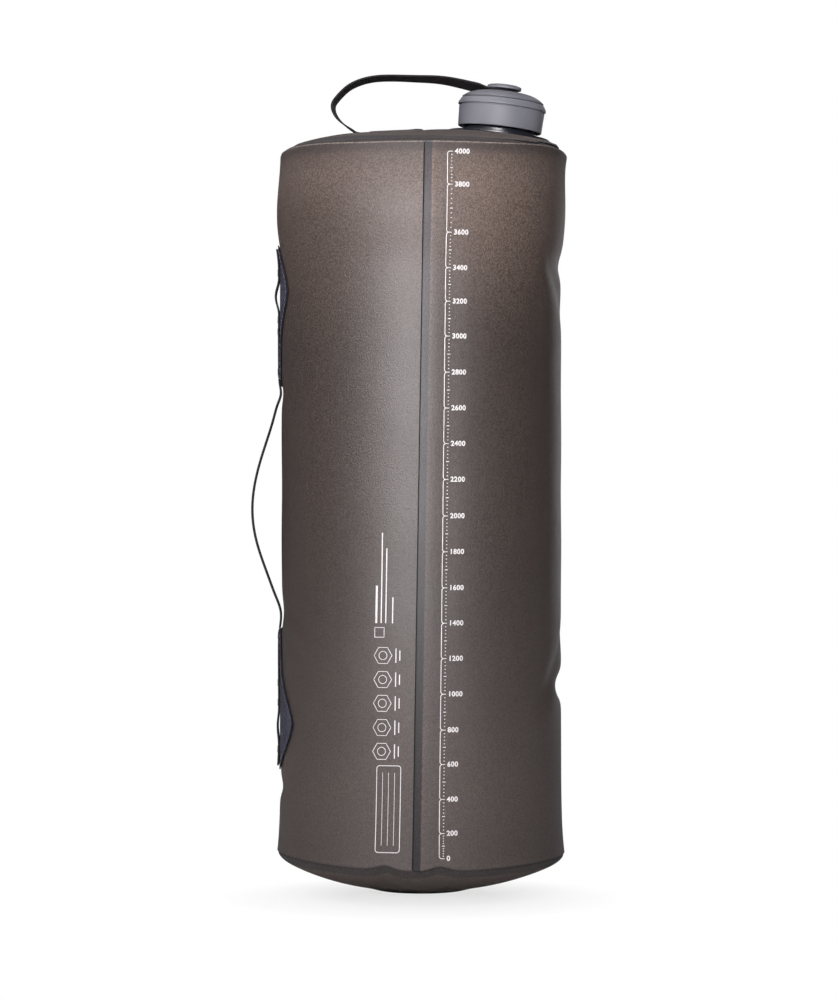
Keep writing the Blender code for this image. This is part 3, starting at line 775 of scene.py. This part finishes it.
def roundCorners(outline, steps=5):
    corners = [Vector((radius, height)) for radius, height, _ in outline]
    points = []
    for i, (_, _, fillet) in enumerate(outline):
        corner = corners[i]
        before = corner + (corners[i - 1] - corner).normalized() * fillet
        after = corner + (corners[(i + 1) % len(corners)] - corner).normalized() * fillet
        points += [rollOver(before, corner, after, t) for t in evenSteps(0, 1, steps)] if fillet else [corner]
    return points


def spinPiece(name, points, steps=144):
    # a closed outline, started as a ring of edges, moved to its shape and spun about the axis
    piece = startPiece(name, bpy.ops.mesh.primitive_circle_add, vertices=len(points), radius=1)
    for vertex, point in zip(piece.data.vertices, points):
        vertex.co = (point.x, 0, point.y)
    bpy.ops.object.mode_set(mode="EDIT")
    bpy.ops.mesh.select_all(action="SELECT")
    bpy.ops.mesh.spin(steps=steps, angle=2 * pi, center=(0, 0, 0), axis=(0, 0, 1))
    bpy.ops.object.mode_set(mode="OBJECT")
    turnFacesOut(piece)
    return piece


def seatTurned(piece, surface, node, rides, sharp=30):
    piece.matrix_world = capMatrix
    settle(piece)
    dress(piece, surface, sharp, node, rides)


ridge = Values(steps=72, fade=9, sink=0.0003, pitch=0.006)


def threadRidge(name, radius, root, width, low, turns):
    # a small trapezoid carried round and up, its ends fading into the wall; a negative root points inwards
    steps, sink = ridge.steps, -ridge.sink if root > 0 else ridge.sink
    section = [(sink, -width / 2), (root, -width / 4), (root, width / 4), (sink, width / 2)]
    count = ceil(steps * turns)

    def place(corner, along):
        fade = smoothStep(min(along, count - along) / ridge.fade)
        out = radius + sink + (corner[0] - sink) * fade
        return atAngle(out, 2 * pi * along / steps, low + ridge.pitch * along / steps + corner[1])

    piece = wrapGrid(name, section, list(range(count + 1)), place)
    turnFacesOut(piece, merge=False)
    return piece


spout = Values(flange=(0.001, 0.0004), collar=0.0165, collarHeight=0.0022, thread=0.0156, height=0.0132,
    lip=0.0006, ridge=0.0009, ridgeWidth=0.0018, ridgeBase=0.0055, ridgeTurns=0.95)


def buildSpout():
    part = spout
    thread, collar, flange, lip = part.thread, part.collar, capSeat.flange, part.lip
    thickness, edge = part.flange
    flangeBase = filmTop + gap
    flangeTop = flangeBase + thickness
    collarTop = flangeTop + part.collarHeight
    # radius, height, fillet
    outline = [(bore, part.height, lip), (thread, part.height, lip), (thread, collarTop, 0.0004),
        (collar, collarTop, 0.0006), (collar, flangeTop, 0.0007), (flange, flangeTop, edge),
        (flange, flangeBase, 0.0002), (bore, flangeBase, 0)]
    turned = spinPiece("spoutTurned", roundCorners(outline))
    ridgePiece = threadRidge("spoutThread", thread, part.ridge, part.ridgeWidth, part.ridgeBase, part.ridgeTurns)
    seatTurned(joinPieces("spoutTurned", [turned, ridgePiece]), glossBlack, "spout", "top_end")


cap = Values(base=0.004, baseRadius=0.01885, topRadius=0.0193, inner=0.017, edge=0.0005,
    bead=0.0199, beadBase=0.0137, beadTop=0.0167, groove=0.0005, plate=0.0012,
    ridge=(0.0006, 0.0015, 0.8), seal=0.0012, sealInset=0.0003, sealEdge=0.0003,
    crown=0.0184, crownRise=0.004, crownThickness=0.0016, crownHole=0.0031, crownRim=0.0004,
    crownFullness=4.6, crownGroove=0.0003, crownSteps=24, roofSteps=12)
sealBase = spout.height + gap
plateBase = sealBase + cap.seal + gap
crownBase = cap.beadTop + gap


def crownHeight(radius):
    rise = cap.crownRise - cap.crownRim
    return crownBase + cap.crownRim + rise * (1 - (radius / cap.crown) ** cap.crownFullness)


def buildCap():
    part = cap
    inner, base, beadTop, beadBase = part.inner, part.base, part.beadTop, part.beadBase
    crown, bead, top, groove = part.crown, part.bead, part.topRadius, part.groove
    thickness, hole, rim = part.crownThickness, part.crownHole, part.crownRim
    neck, ledge, plateTop = top - groove, crown - thickness, plateBase + part.plate
    outline = [
        (0, plateTop, 0), (ledge, plateTop, 0.0004), (ledge, beadTop, 0.0002), (crown + 0.0002, beadTop, 0.0002),
        (bead - 0.0007, beadTop - 0.001, 0.001), (bead, beadBase + 0.0008, 0.0006), (bead - 0.0001, beadBase, 0.0003),
        (neck, beadBase, 0.0001), (neck, beadBase - groove, 0.0001), (top, beadBase - groove, 0.0003),
        (part.baseRadius, base, part.edge), (inner, base, part.edge), (inner, plateBase, 0.0004), (0, plateBase, 0)]
    turned = spinPiece("capShellTurned", roundCorners(outline), 180)
    depth, width, turns = part.ridge
    ridgePiece = threadRidge("capThread", inner, -depth, width, spout.ridgeBase + ridge.pitch / 2, turns)
    shell = joinPieces("capShellTurned", [turned, ridgePiece])
    # the inner wall and the mouth get the near-black inside colour
    inside = shell.data.attributes.new("inside", "FLOAT", "POINT")
    for vertex in shell.data.vertices:
        within = hypot(*vertex.co.xy) < part.baseRadius - part.edge * 0.8 and vertex.co.z < plateBase + 0.0001
        inside.data[vertex.index].value = 1 if within else 0
    seatTurned(shell, capGrey, "cap_shell", "cap")

    radii = [hole + (crown - hole) * sin(pi / 2 * share) for share in evenSteps(0, 1, part.crownSteps)]
    points = [(radius, crownHeight(radius)) for radius in radii]
    groove = part.crownGroove
    points += [(crown - 0.00004, crownBase + groove), (crown - groove, crownBase + groove),
        (crown - groove, crownBase), (ledge - rim, crownBase)]
    points += [(radius - rim, crownHeight(radius) - thickness)
        for radius in evenSteps(ledge, hole, part.roofSteps)[1:-1]]
    points.append((hole, crownHeight(hole) - thickness))
    piece = spinPiece("capCrownTurned", [Vector(point) for point in points], 180)
    seatTurned(piece, capGrey, "cap_crown", "cap", 40)

    low, high, edge = bore + part.sealInset, inner - part.sealInset, part.sealEdge
    outline = [(radius, height, edge) for radius, height in (
        (low, sealBase + part.seal), (high, sealBase + part.seal), (high, sealBase), (low, sealBase))]
    seatTurned(spinPiece("capSealRing", roundCorners(outline), 96), sealRubber, "cap_seal", "cap")


button = Values(radius=0.0077, thickness=0.0023, side=0.0012, edge=0.0006, lowerEdge=0.0003,
    post=0.0026, barb=0.004, barbThickness=0.0009)
leash = Values(seat=0.0001, width=0.01, thickness=0.0007, eyelet=0.0031, exit=0.0105, rise=0.0252,
    overhang=0.0138, landing=-0.026, end=-0.008, step=0.0009, headSteps=24, columns=14,
    # roll near the cap and beyond it, over what length, and how soon it comes and goes
    roll=(radians(17), radians(8), 0.045), rollFades=(0.007, 0.02),
    route=[(0.767, 0.957), (0.578, 0.992), (0.302, 0.996), (0.136, 0.871), (0.034, 0.634),
    (0.006, 0.47), (0.04, 0.271), (0.13, 0.08)])
strapBase = crownBase + cap.crownRise + gap
strapTop = strapBase + leash.thickness


def buildButton():
    part = button
    radius, post, base = part.radius, part.post, strapTop + gap
    barbTop = crownHeight(cap.crownHole) - cap.crownThickness - gap
    barbBase, top = barbTop - part.barbThickness, base + part.thickness
    outline = [(0, top, 0), (radius * 0.52, top - 0.0001, 0.002), (radius * 0.9, top - 0.0006, 0.001),
        (radius, base + part.side, part.edge), (radius, base, part.lowerEdge), (post, base, 0.0002),
        (post, barbTop, 0), (part.barb, barbTop, 0.0002), (post, barbBase, 0.0002), (0, barbBase, 0)]
    piece = spinPiece("leashButtonTurned", roundCorners(outline), 128)
    seatTurned(piece, capGrey, "leash_button", "leash_end")


buildSpout()
buildCap()
buildButton()
print("spout, cap and button turned")


# leash and its cover

def buildLeash():
    part = leash
    half, thickness, landing, end = part.width / 2, part.thickness, part.landing, part.end
    eyelet = capMatrix @ Vector((0, 0, (strapBase + strapTop) / 2))
    eyelet = Vector((eyelet.x, eyelet.z))
    along = Vector((-cos(capTilt), sin(capTilt)))
    leave = eyelet + along * part.exit
    onFilm = filmTop + part.seat + thickness / 2
    landed, last = (Vector((x, shoulderHeight(x, 0) + onFilm)) for x in (landing, end))
    low = Vector((landed.x - part.overhang, landed.y))
    free = [low + Vector((x * (leave.x - low.x), z * part.rise)) for x, z in part.route]
    head = [(eyelet - along * half).lerp(leave, share) for share in evenSteps(0, 1, part.headSteps)[:-1]]
    points = head + smoothPoints([leave, *free, landed, last], part.step)
    lengths = [0]
    for before, after in zip(points, points[1:]):
        lengths.append(lengths[-1] + (after - before).length)
    landedLength = lengths[-1] - (end - landing)
    nearCap, beyond, rollLength = part.roll
    comes, goes = part.rollFades

    def place(side, i):
        fromEyelet, fromExit = half - lengths[i], lengths[i] - part.exit
        reach = sqrt(max(half**2 - fromEyelet**2, (half * 0.12) ** 2)) if fromEyelet > 0 else half
        along = (points[min(i + 1, len(points) - 1)] - points[max(i - 1, 0)]).normalized()
        share = smoothStep(fromExit / comes) * smoothStep((landedLength - lengths[i]) / goes)
        roll = beyond + (nearCap - beyond) * (1 - smoothStep(fromExit / rollLength))
        raised = -side * reach * sin(roll * share)
        return Vector((points[i].x + along.y * raised, side * reach, points[i].y - along.x * raised))

    def layStrip(name, rows):
        piece = wrapGrid(name, evenSteps(-1, 1, part.columns), rows, place,
            uvOf=lambda side, i: (side * half, lengths[i]))
        thicken(piece, thickness)
        return piece

    # the run under the cover is a piece of its own, because it stays on the film when the cap lifts
    first = next(i for i in range(len(points)) if lengths[i] >= landedLength)
    tail = layStrip("leashTail", list(range(first, len(points))))
    dress(tail, webbing, 40, None, "top_end", soften=True)
    piece = layStrip("leashStrap", list(range(first + 1)))
    cutter = startPiece("eyeletCutter", bpy.ops.mesh.primitive_cylinder_add, vertices=48,
        radius=part.eyelet, depth=thickness * 4)
    cutter.matrix_world = capMatrix @ Matrix.Translation((0, 0, (strapBase + strapTop) / 2))
    hole = piece.modifiers.new("eyelet", "BOOLEAN")
    hole.operation = "DIFFERENCE"
    hole.solver = "EXACT"
    hole.object = cutter
    dress(piece, webbing, 40, "leash", None, soften=True)
    bpy.data.objects.remove(cutter)
    shoulderHeight(landing, 0.0)
    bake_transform(piece)


leashCover = Values(length=0.024, width=0.026, thickness=0.0003, overlap=0.003, slope=0.006,
    corner=0.004, columns=48, rows=52)


def buildLeashCover():
    part = leashCover
    half, corner, slope = part.width / 2, part.corner, part.slope
    middle = leash.width / 2 + gap
    start = leash.landing + part.overlap
    end = start + part.length
    flat = filmTop + leash.seat + part.thickness / 2

    def place(x, side):
        beside = 1 - smoothStep((abs(side) - middle) / slope)
        beyond = 1 - smoothStep((x - leash.end - middle) / slope)
        # rounded outline
        inset = max(0, corner - min(x - start, end - x))
        y = side * (half - corner + sqrt(max(corner**2 - inset**2, 0))) / half
        raised = (leash.thickness + leash.seat) * beside * beyond
        return Vector((x, y, shoulderHeight(x, y) + flat + raised))

    piece = wrapGrid("leashCover", evenSteps(start, end, part.columns), evenSteps(-half, half, part.rows), place,
        uvOf=lambda x, side: (x, side), seam=lambda x, side: filmLook.farFromWeld)
    dress(piece, film, 50, "leash_patch", "top_end", thickness=part.thickness)


buildLeash()
buildLeashCover()
print("leash built")


# handle side

patches = Values(thickness=0.0005, length=0.063, columns=40, rows=90, stitchInset=0.0014, borderWidth=1.5,
    outline=[(0, 0.28), (0.05, 0.45), (0.15, 0.71), (0.25, 0.9), (0.34, 1), (0.44, 0.89),
    (0.56, 0.67), (0.68, 0.48), (0.82, 0.39), (0.94, 0.34), (1, 0.22)],
    # tip, direction along the wall, half width
    upper=(rimHeight - 0.042, -1, 0.0245), lower=(seamHeight + 0.0381, 1, 0.0305))
upperTop, lowerBase = patches.upper[0], patches.lower[0]
strap = Values(width=0.01, thickness=0.0007, inset=0.0014, bulge=0.0121, skew=0.02, step=0.0011,
    columns=12, top=upperTop - patches.length + 0.0035, base=lowerBase + patches.length,
    # lash loops: height, bulge
    lashes=[(upperTop - 0.0226, 0.0015), (lowerBase + 0.0192, 0.0006)], lashLength=0.0165)


def patchReach(halfWidth, share):
    return halfWidth * readTable(patches.outline, share)


def patchPoint(spec, side, share, standOff):
    tip, direction, halfWidth = spec
    height = tip + direction * patches.length * share
    angle = left + side * patchReach(halfWidth, share) / bodyRadius
    return atAngle(wallRadius(angle, height) + standOff, angle, height)


def buildPatch(name, spec, node):
    part = patches
    halfWidth, length = spec[2], part.length
    standOff = filmTop + gap + part.thickness / 2

    def borderValue(side, share):
        inside = min((1 - abs(side)) * patchReach(halfWidth, share), share * length, (1 - share) * length)
        return min(1, inside * mm / part.borderWidth)

    piece = wrapGrid(name, evenSteps(-1, 1, part.columns), evenSteps(0, 1, part.rows),
        lambda side, share: patchPoint(spec, side, share, standOff), border=borderValue,
        uvOf=lambda side, share: (side * patchReach(halfWidth, share), share * length))
    turnFacesOut(piece)
    dress(piece, fabric, 50, node, soft=True, thickness=part.thickness)


def strapPlace(height):
    out = wallRadius(left, height) + filmTop + 2 * gap + patches.thickness + strap.thickness / 2
    for centre, bulge in strap.lashes:
        out += bulge * wave((height - centre) / strap.lashLength + 0.5)
    share = (height - strap.base) / (strap.top - strap.base)
    return out + strap.bulge * wave(share + strap.skew * sin(pi * share))


def buildStrap(name, low, high, node, rides):
    half = strap.width / 2
    piece = wrapGrid(name, evenSteps(-half, half, strap.columns),
        evenSteps(low, high, round((high - low) / strap.step)),
        lambda side, height: Vector((-strapPlace(height), side, height)), uvOf=lambda side, height: (side, height))
    dress(piece, webbing, 40, node, rides, soft=True, thickness=strap.thickness, soften=True)


stitches = Values(length=0.0021, pitch=0.0029, radius=0.00016, pathSteps=(0.02, 0.98, 400),
    tackStep=0.00055, tackHeight=0.0028, tackInset=0.0008, besideLash=0.0022,
    tacksAbove=(0.003, 0.021), tacksBelow=(-0.003, -0.0245))


def sewThread(name, runs):
    piece = drawTubes(name, runs, stitches.radius)
    turnFacesOut(piece)
    dress(piece, thread, 60, soft=True)


def borderStitches(spec):
    standOff = filmTop + gap + patches.thickness + stitches.radius * 0.4
    runs = []
    for sideSign in (-1, 1):
        path = []
        for share in evenSteps(*stitches.pathSteps):
            side = sideSign * max(0, 1 - patches.stitchInset / patchReach(spec[2], share))
            path.append(patchPoint(spec, side, share, standOff))
        gone, run = 0, []
        for before, after in zip(path, path[1:]):
            gone += (after - before).length
            if gone % stitches.pitch < stitches.length:
                run.append(after)
            elif run:
                runs.append(run[::4] + [run[-1]] if len(run) > 4 else run)
                run = []
    return [run for run in runs if len(run) > 1]


def barTack(height):
    # close zigzag stitches across the strap
    half, rise = strap.width / 2 - stitches.tackInset, stitches.tackHeight / 2
    points = []
    for i, y in enumerate(evenSteps(-half, half, round(2 * half / stitches.tackStep))):
        z = height + (rise if i % 2 else -rise)
        points.append((-strapPlace(z) - strap.thickness / 2 - stitches.radius * 0.3, y, z))
    return points


buildPatch("upperPatch", patches.upper, "upper_patch")
buildPatch("lowerPatch", patches.lower, "lower_patch")
buildStrap("sewnStrapUpper", strap.top + gap, upperTop - strap.inset, "webbing_upper", "root")
buildStrap("sewnStrapLower", lowerBase + strap.inset, strap.base - gap, "webbing_lower", "root")
buildStrap("handleStrap", strap.base, strap.top, "handle_loop", "handle")
sewThread("borderStitching", borderStitches(patches.upper) + borderStitches(patches.lower))
lashReach = strap.lashLength / 2 + stitches.besideLash
tacks = [strap.top + rise for rise in stitches.tacksAbove]
tacks += [strap.base + rise for rise in stitches.tacksBelow]
tacks += [centre + reach for centre, _ in strap.lashes for reach in (-lashReach, lashReach)]
sewThread("barTacks", [barTack(height) for height in tacks])
print("patches and strap sewn")


# printed volume scale, raised ink on the right half of the wall

scale = Values(twist=3.32, millilitres=200, relief=0.00005,
    heights=[0.02, 0.0308, 0.0455, 0.0606, 0.0755, 0.091, 0.1064, 0.1217, 0.137, 0.1526, 0.1681,
    0.1839, 0.1994, 0.2148, 0.2303, 0.2459, 0.261, 0.2755, 0.2908, 0.3115, 0.3258],
    lineAngle=8.35, tickAngle=10.45, dotAngle=10, numberAngle=11.25,
    lineWidth=0.00032, notch=0.0011, dotWidth=0.00036, dotReach=0.00026, middleReach=0.00062,
    digitSize=0.003, digitBold=0.034, digitSpacing=1.1, digitDepth=0.00002)
printStep, printSink = 0.0016, 0.00001


def layOnWall(piece, surface, relief, twist=body.twist):
    # flat artwork: x is the arc from the front weld, y the height, z the relief
    for vertex in piece.data.vertices:
        height = vertex.co.y
        angle = front + weldTwist(height, twist) + vertex.co.x / bodyRadius
        rise = relief if vertex.co.z > 0 else printSink
        fromEdge = turnBetween(angle, front + weldTwist(height)) * bodyRadius + body.lapWidth - body.lapRight
        rise += lapLift(fromEdge) if fromEdge > 0 else 0
        vertex.co = atAngle(wallRadius(angle, height) + filmTop + rise, angle, height)
    dress(piece, surface, 40, soft=True)


def closeSpaced(points):
    # long straight lines get points enough to follow the wall
    dense = [(*points[0], 0)]
    for (x0, y0), (x1, y1) in zip(points, points[1:]):
        for share in evenSteps(0, 1, max(1, round(hypot(x1 - x0, y1 - y0) / printStep)))[1:]:
            dense.append((x0 + (x1 - x0) * share, y0 + (y1 - y0) * share, 0))
    return dense


def flatLines(name, lines):
    # (width, points) lines on flat curves, one curve for each width, made meshes and joined
    return joinPieces(name, [
        drawTubes(name, [closeSpaced(points) for own, points in lines if own == width], width / 2)
        for width in sorted({width for width, _ in lines})])


def scaleLines():
    part = scale
    line, tick, dot = (radians(part[key]) * bodyRadius for key in ("lineAngle", "tickAngle", "dotAngle"))
    notch, lines = part.notch, []
    for low, high in zip(part.heights, part.heights[1:]):
        lowBend = [(line + notch * (1 - cos(t)), low + notch * (1 - sin(t))) for t in evenSteps(pi / 2, 0, 5)]
        highBend = [(x, low + high - y) for x, y in reversed(lowBend)]
        lines.append((part.lineWidth, [(tick, low), *lowBend, *highBend, (tick, high)]))
        for i, y in enumerate(evenSteps(low, high, 10)[1:-1], 1):
            reach = part.middleReach if i == 5 else part.dotReach
            lines.append((part.dotWidth, [(dot - reach, y), (dot + reach, y)]))
    return lines


def flatNumber(words, x, y):
    curve = bpy.data.curves.new("number", "FONT")
    curve.body = words
    curve.size = scale.digitSize
    curve.space_character = scale.digitSpacing
    curve.offset = scale.digitBold * scale.digitSize
    curve.extrude = scale.digitDepth
    curve.align_y = "CENTER"
    curve.resolution_u = 6
    piece = curveToMesh("number", curve)
    piece.location = (x, y, 0)
    settle(piece)
    return piece


layOnWall(flatLines("scaleLine", scaleLines()), ink, scale.relief, scale.twist)
numberArc = radians(scale.numberAngle) * bodyRadius
numbers = [flatNumber(str(i * scale.millilitres), numberArc, height) for i, height in enumerate(scale.heights)]
layOnWall(joinPieces("scaleNumbers", numbers), ink, scale.relief, scale.twist)
print("scale printed")


# plain printed marks on the left half, where the real one has words and badges

plainMarks = Values(badgeHeights=[0.1077, 0.0973, 0.087, 0.0765, 0.0662], badgeArc=-0.01585, badgeLine=0.00028,
    # radius and sides of the badge's outlines, then offset and reach of the bars beside it
    badgeRings=[(0.004, 6), (0.0018, 24)], bars=[(-0.0101, 0.0031), (-0.0084, 0.0022)], barLine=0.00045,
    fieldArcs=(-0.0178, -0.0072), fieldHeights=(0.0225, 0.06), fieldLine=0.00032, fieldCorner=0.0012,
    ruleInset=0.003, ruleLine=0.000192,
    # upright bars: arc, upper end, width
    rowBase=0.1217, rows=[(-0.0191, 0.1379, 0.0009), (-0.0169, 0.1608, 0.00048), (-0.01485, 0.1541, 0.00048),
    (-0.01185, 0.1329, 0.00048)], spotHeight=0.1177, spotArc=-0.0176, spotReach=0.0021)


def arcPoints(x, y, radius, start, end, count):
    return [(x + radius * cos(t), y + radius * sin(t)) for t in evenSteps(radians(start), radians(end), count)]


def markLines():
    part = plainMarks
    lines = []
    for height in part.badgeHeights:
        for radius, count in part.badgeRings:
            lines.append((part.badgeLine, arcPoints(part.badgeArc, height, radius, 0, 360, count)))
        lines += [(part.barLine, [(x, height - reach), (x, height + reach)]) for x, reach in part.bars]
    (x0, x1), (y0, y1), corner = part.fieldArcs, part.fieldHeights, part.fieldCorner
    corners = ((x1 - corner, y1 - corner), (x0 + corner, y1 - corner),
        (x0 + corner, y0 + corner), (x1 - corner, y0 + corner))
    outline = []
    for turn, (x, y) in enumerate(corners):
        outline += arcPoints(x, y, corner, 90 * turn, 90 * turn + 90, 4)
    lines.append((part.fieldLine, [*outline, outline[0]]))
    for x in evenSteps(x0, x1, 4)[1:-1]:
        lines.append((part.ruleLine, [(x, y0 + part.ruleInset), (x, y1 - part.ruleInset)]))
    lines += [(width, [(x, part.rowBase), (x, end)]) for x, end, width in part.rows]
    x, y, reach = part.spotArc, part.spotHeight, part.spotReach
    square = [(x + reach * side, y + reach * up) for side, up in ((-1, -1), (1, -1), (1, 1), (-1, 1), (-1, -1))]
    lines.append((part.badgeLine, square))
    return lines


layOnWall(flatLines("plainMarks", markLines()), ink, scale.relief)
print("plain marks printed")


# painted shadow: a dark line along each wall weld, where the upper film's cut edge stands on the lower film

weldShadowLine = Values(width=0.00045, relief=0.00012, endGap=0.0004)


def buildWeldShadowLines():
    beside = body.lapWidth - body.lapRight + weldShadowLine.width / 2
    lines = []
    for turn in (0, pi):
        low = seamLine(front + weldTwist(seamHeight) + turn) + weldShadowLine.endGap
        across = -turn * bodyRadius - beside
        lines.append((weldShadowLine.width, [(across, low), (across, rimLine(front + turn) - weldShadowLine.endGap)]))
    layOnWall(flatLines("weldEdgeShadowLines", lines), paintedWeldShadow, weldShadowLine.relief)


buildWeldShadowLines()
print("weld lines laid")


# floor, light and camera

studio = Values(floorSize=8, floorGloss=(0.9, 0.5), floorColour=(0.8, 0.8, 0.8, 1), white=(1, 1, 1, 1),
    shadowPlace=(0, 0.035, 0), shadowShape=(0.95, 1, 1), shadowFade=(0.03, 0.085, 0.72, 1),
    worldFill=0.035, worldGloss=0.04, cameraPlace=(-0.0008, -1.6, 0.175), lens=128, sensor=36,
    lampTint=(1, 0.965, 0.99),
    # place, target, size, power, spread
    lamps=[("keyLight", (-0.18, -1.45, 0.5), (0, 0, 0.27), (0.8, 0.2), 2.1, 44),
    ("fillLight", (-0.5, -1.5, 1.2), (0, 0, 0.18), (1.8, 0.8), 11, 180),
    ("rimLight", (0.75, 1.6, 0.5), (0.03, 0, 0.18), (0.25, 1.4), 3.8, 180),
    ("backLight", (-1.2, 1, 1.3), (0, 0, 0.3), (0.6, 0.6), 2, 180),
    ("topLight", (-0.2, -0.3, 1.7), (0, 0, 0.3), (1.4, 1.2), 8.5, 180)])


def addLamp(name, place, target, size, power, spread):
    bpy.ops.object.light_add(type="AREA", location=place)
    lamp = bpy.context.active_object
    lamp.name = name
    lamp.data.shape = "RECTANGLE"
    lamp.data.size, lamp.data.size_y = size
    lamp.data.energy = power
    lamp.data.color = studio.lampTint
    lamp.data.spread = radians(spread)
    lamp.rotation_euler = (Vector(target) - Vector(place)).to_track_quat("-Z", "Y").to_euler()


def makeFloor():
    piece = startPiece("paleFloor", bpy.ops.mesh.primitive_plane_add, size=studio.floorSize)
    floor = newMaterial("paleFloor", None, *studio.floorGloss, Base_Color=studio.floorColour)
    moved = floor.vector("ADD", {0: floor.place, 1: studio.shadowPlace})
    shaped = floor.vector("MULTIPLY", {0: moved, 1: studio.shadowShape})
    fade = floor.spread(floor.vector("LENGTH", {0: shaped}, "Value"), *studio.shadowFade)
    direct = floor.math("MULTIPLY", floor.node("LightPath").outputs["Is Camera Ray"], fade)
    white = floor.node("Emission", {"Color": studio.white, "Strength": 1})
    both = floor.node("MixShader", {0: direct, 1: floor.shader.outputs[0], 2: white.outputs[0]})
    floor.give(floor.tree.nodes["Material Output"].inputs["Surface"], both.outputs[0])
    piece.data.materials.append(floor.data)


def makeWorld():
    # white to the camera, dimmer in gloss, dimmest as fill
    world = Surface(bpy.data.worlds.new("studioWorld"), "Background", Color=studio.white)
    bpy.context.scene.world = world.data
    seen = world.node("LightPath").outputs
    fill = world.spread(seen["Is Glossy Ray"], 0, 1, studio.worldFill, studio.worldGloss)
    world.shade(Strength=world.spread(seen["Is Camera Ray"], 0, 1, fill, 1))


makeFloor()
makeWorld()
for lamp in studio.lamps:
    addLamp(*lamp)
bpy.ops.object.camera_add(location=studio.cameraPlace, rotation=(pi / 2, 0, 0))
camera = bpy.context.active_object
camera.data.lens = studio.lens
camera.data.sensor_width = studio.sensor
camera.data.clip_start = 0.01
bpy.context.scene.camera = camera
bpy.context.scene.view_settings.view_transform = "Standard"
print("studio set")
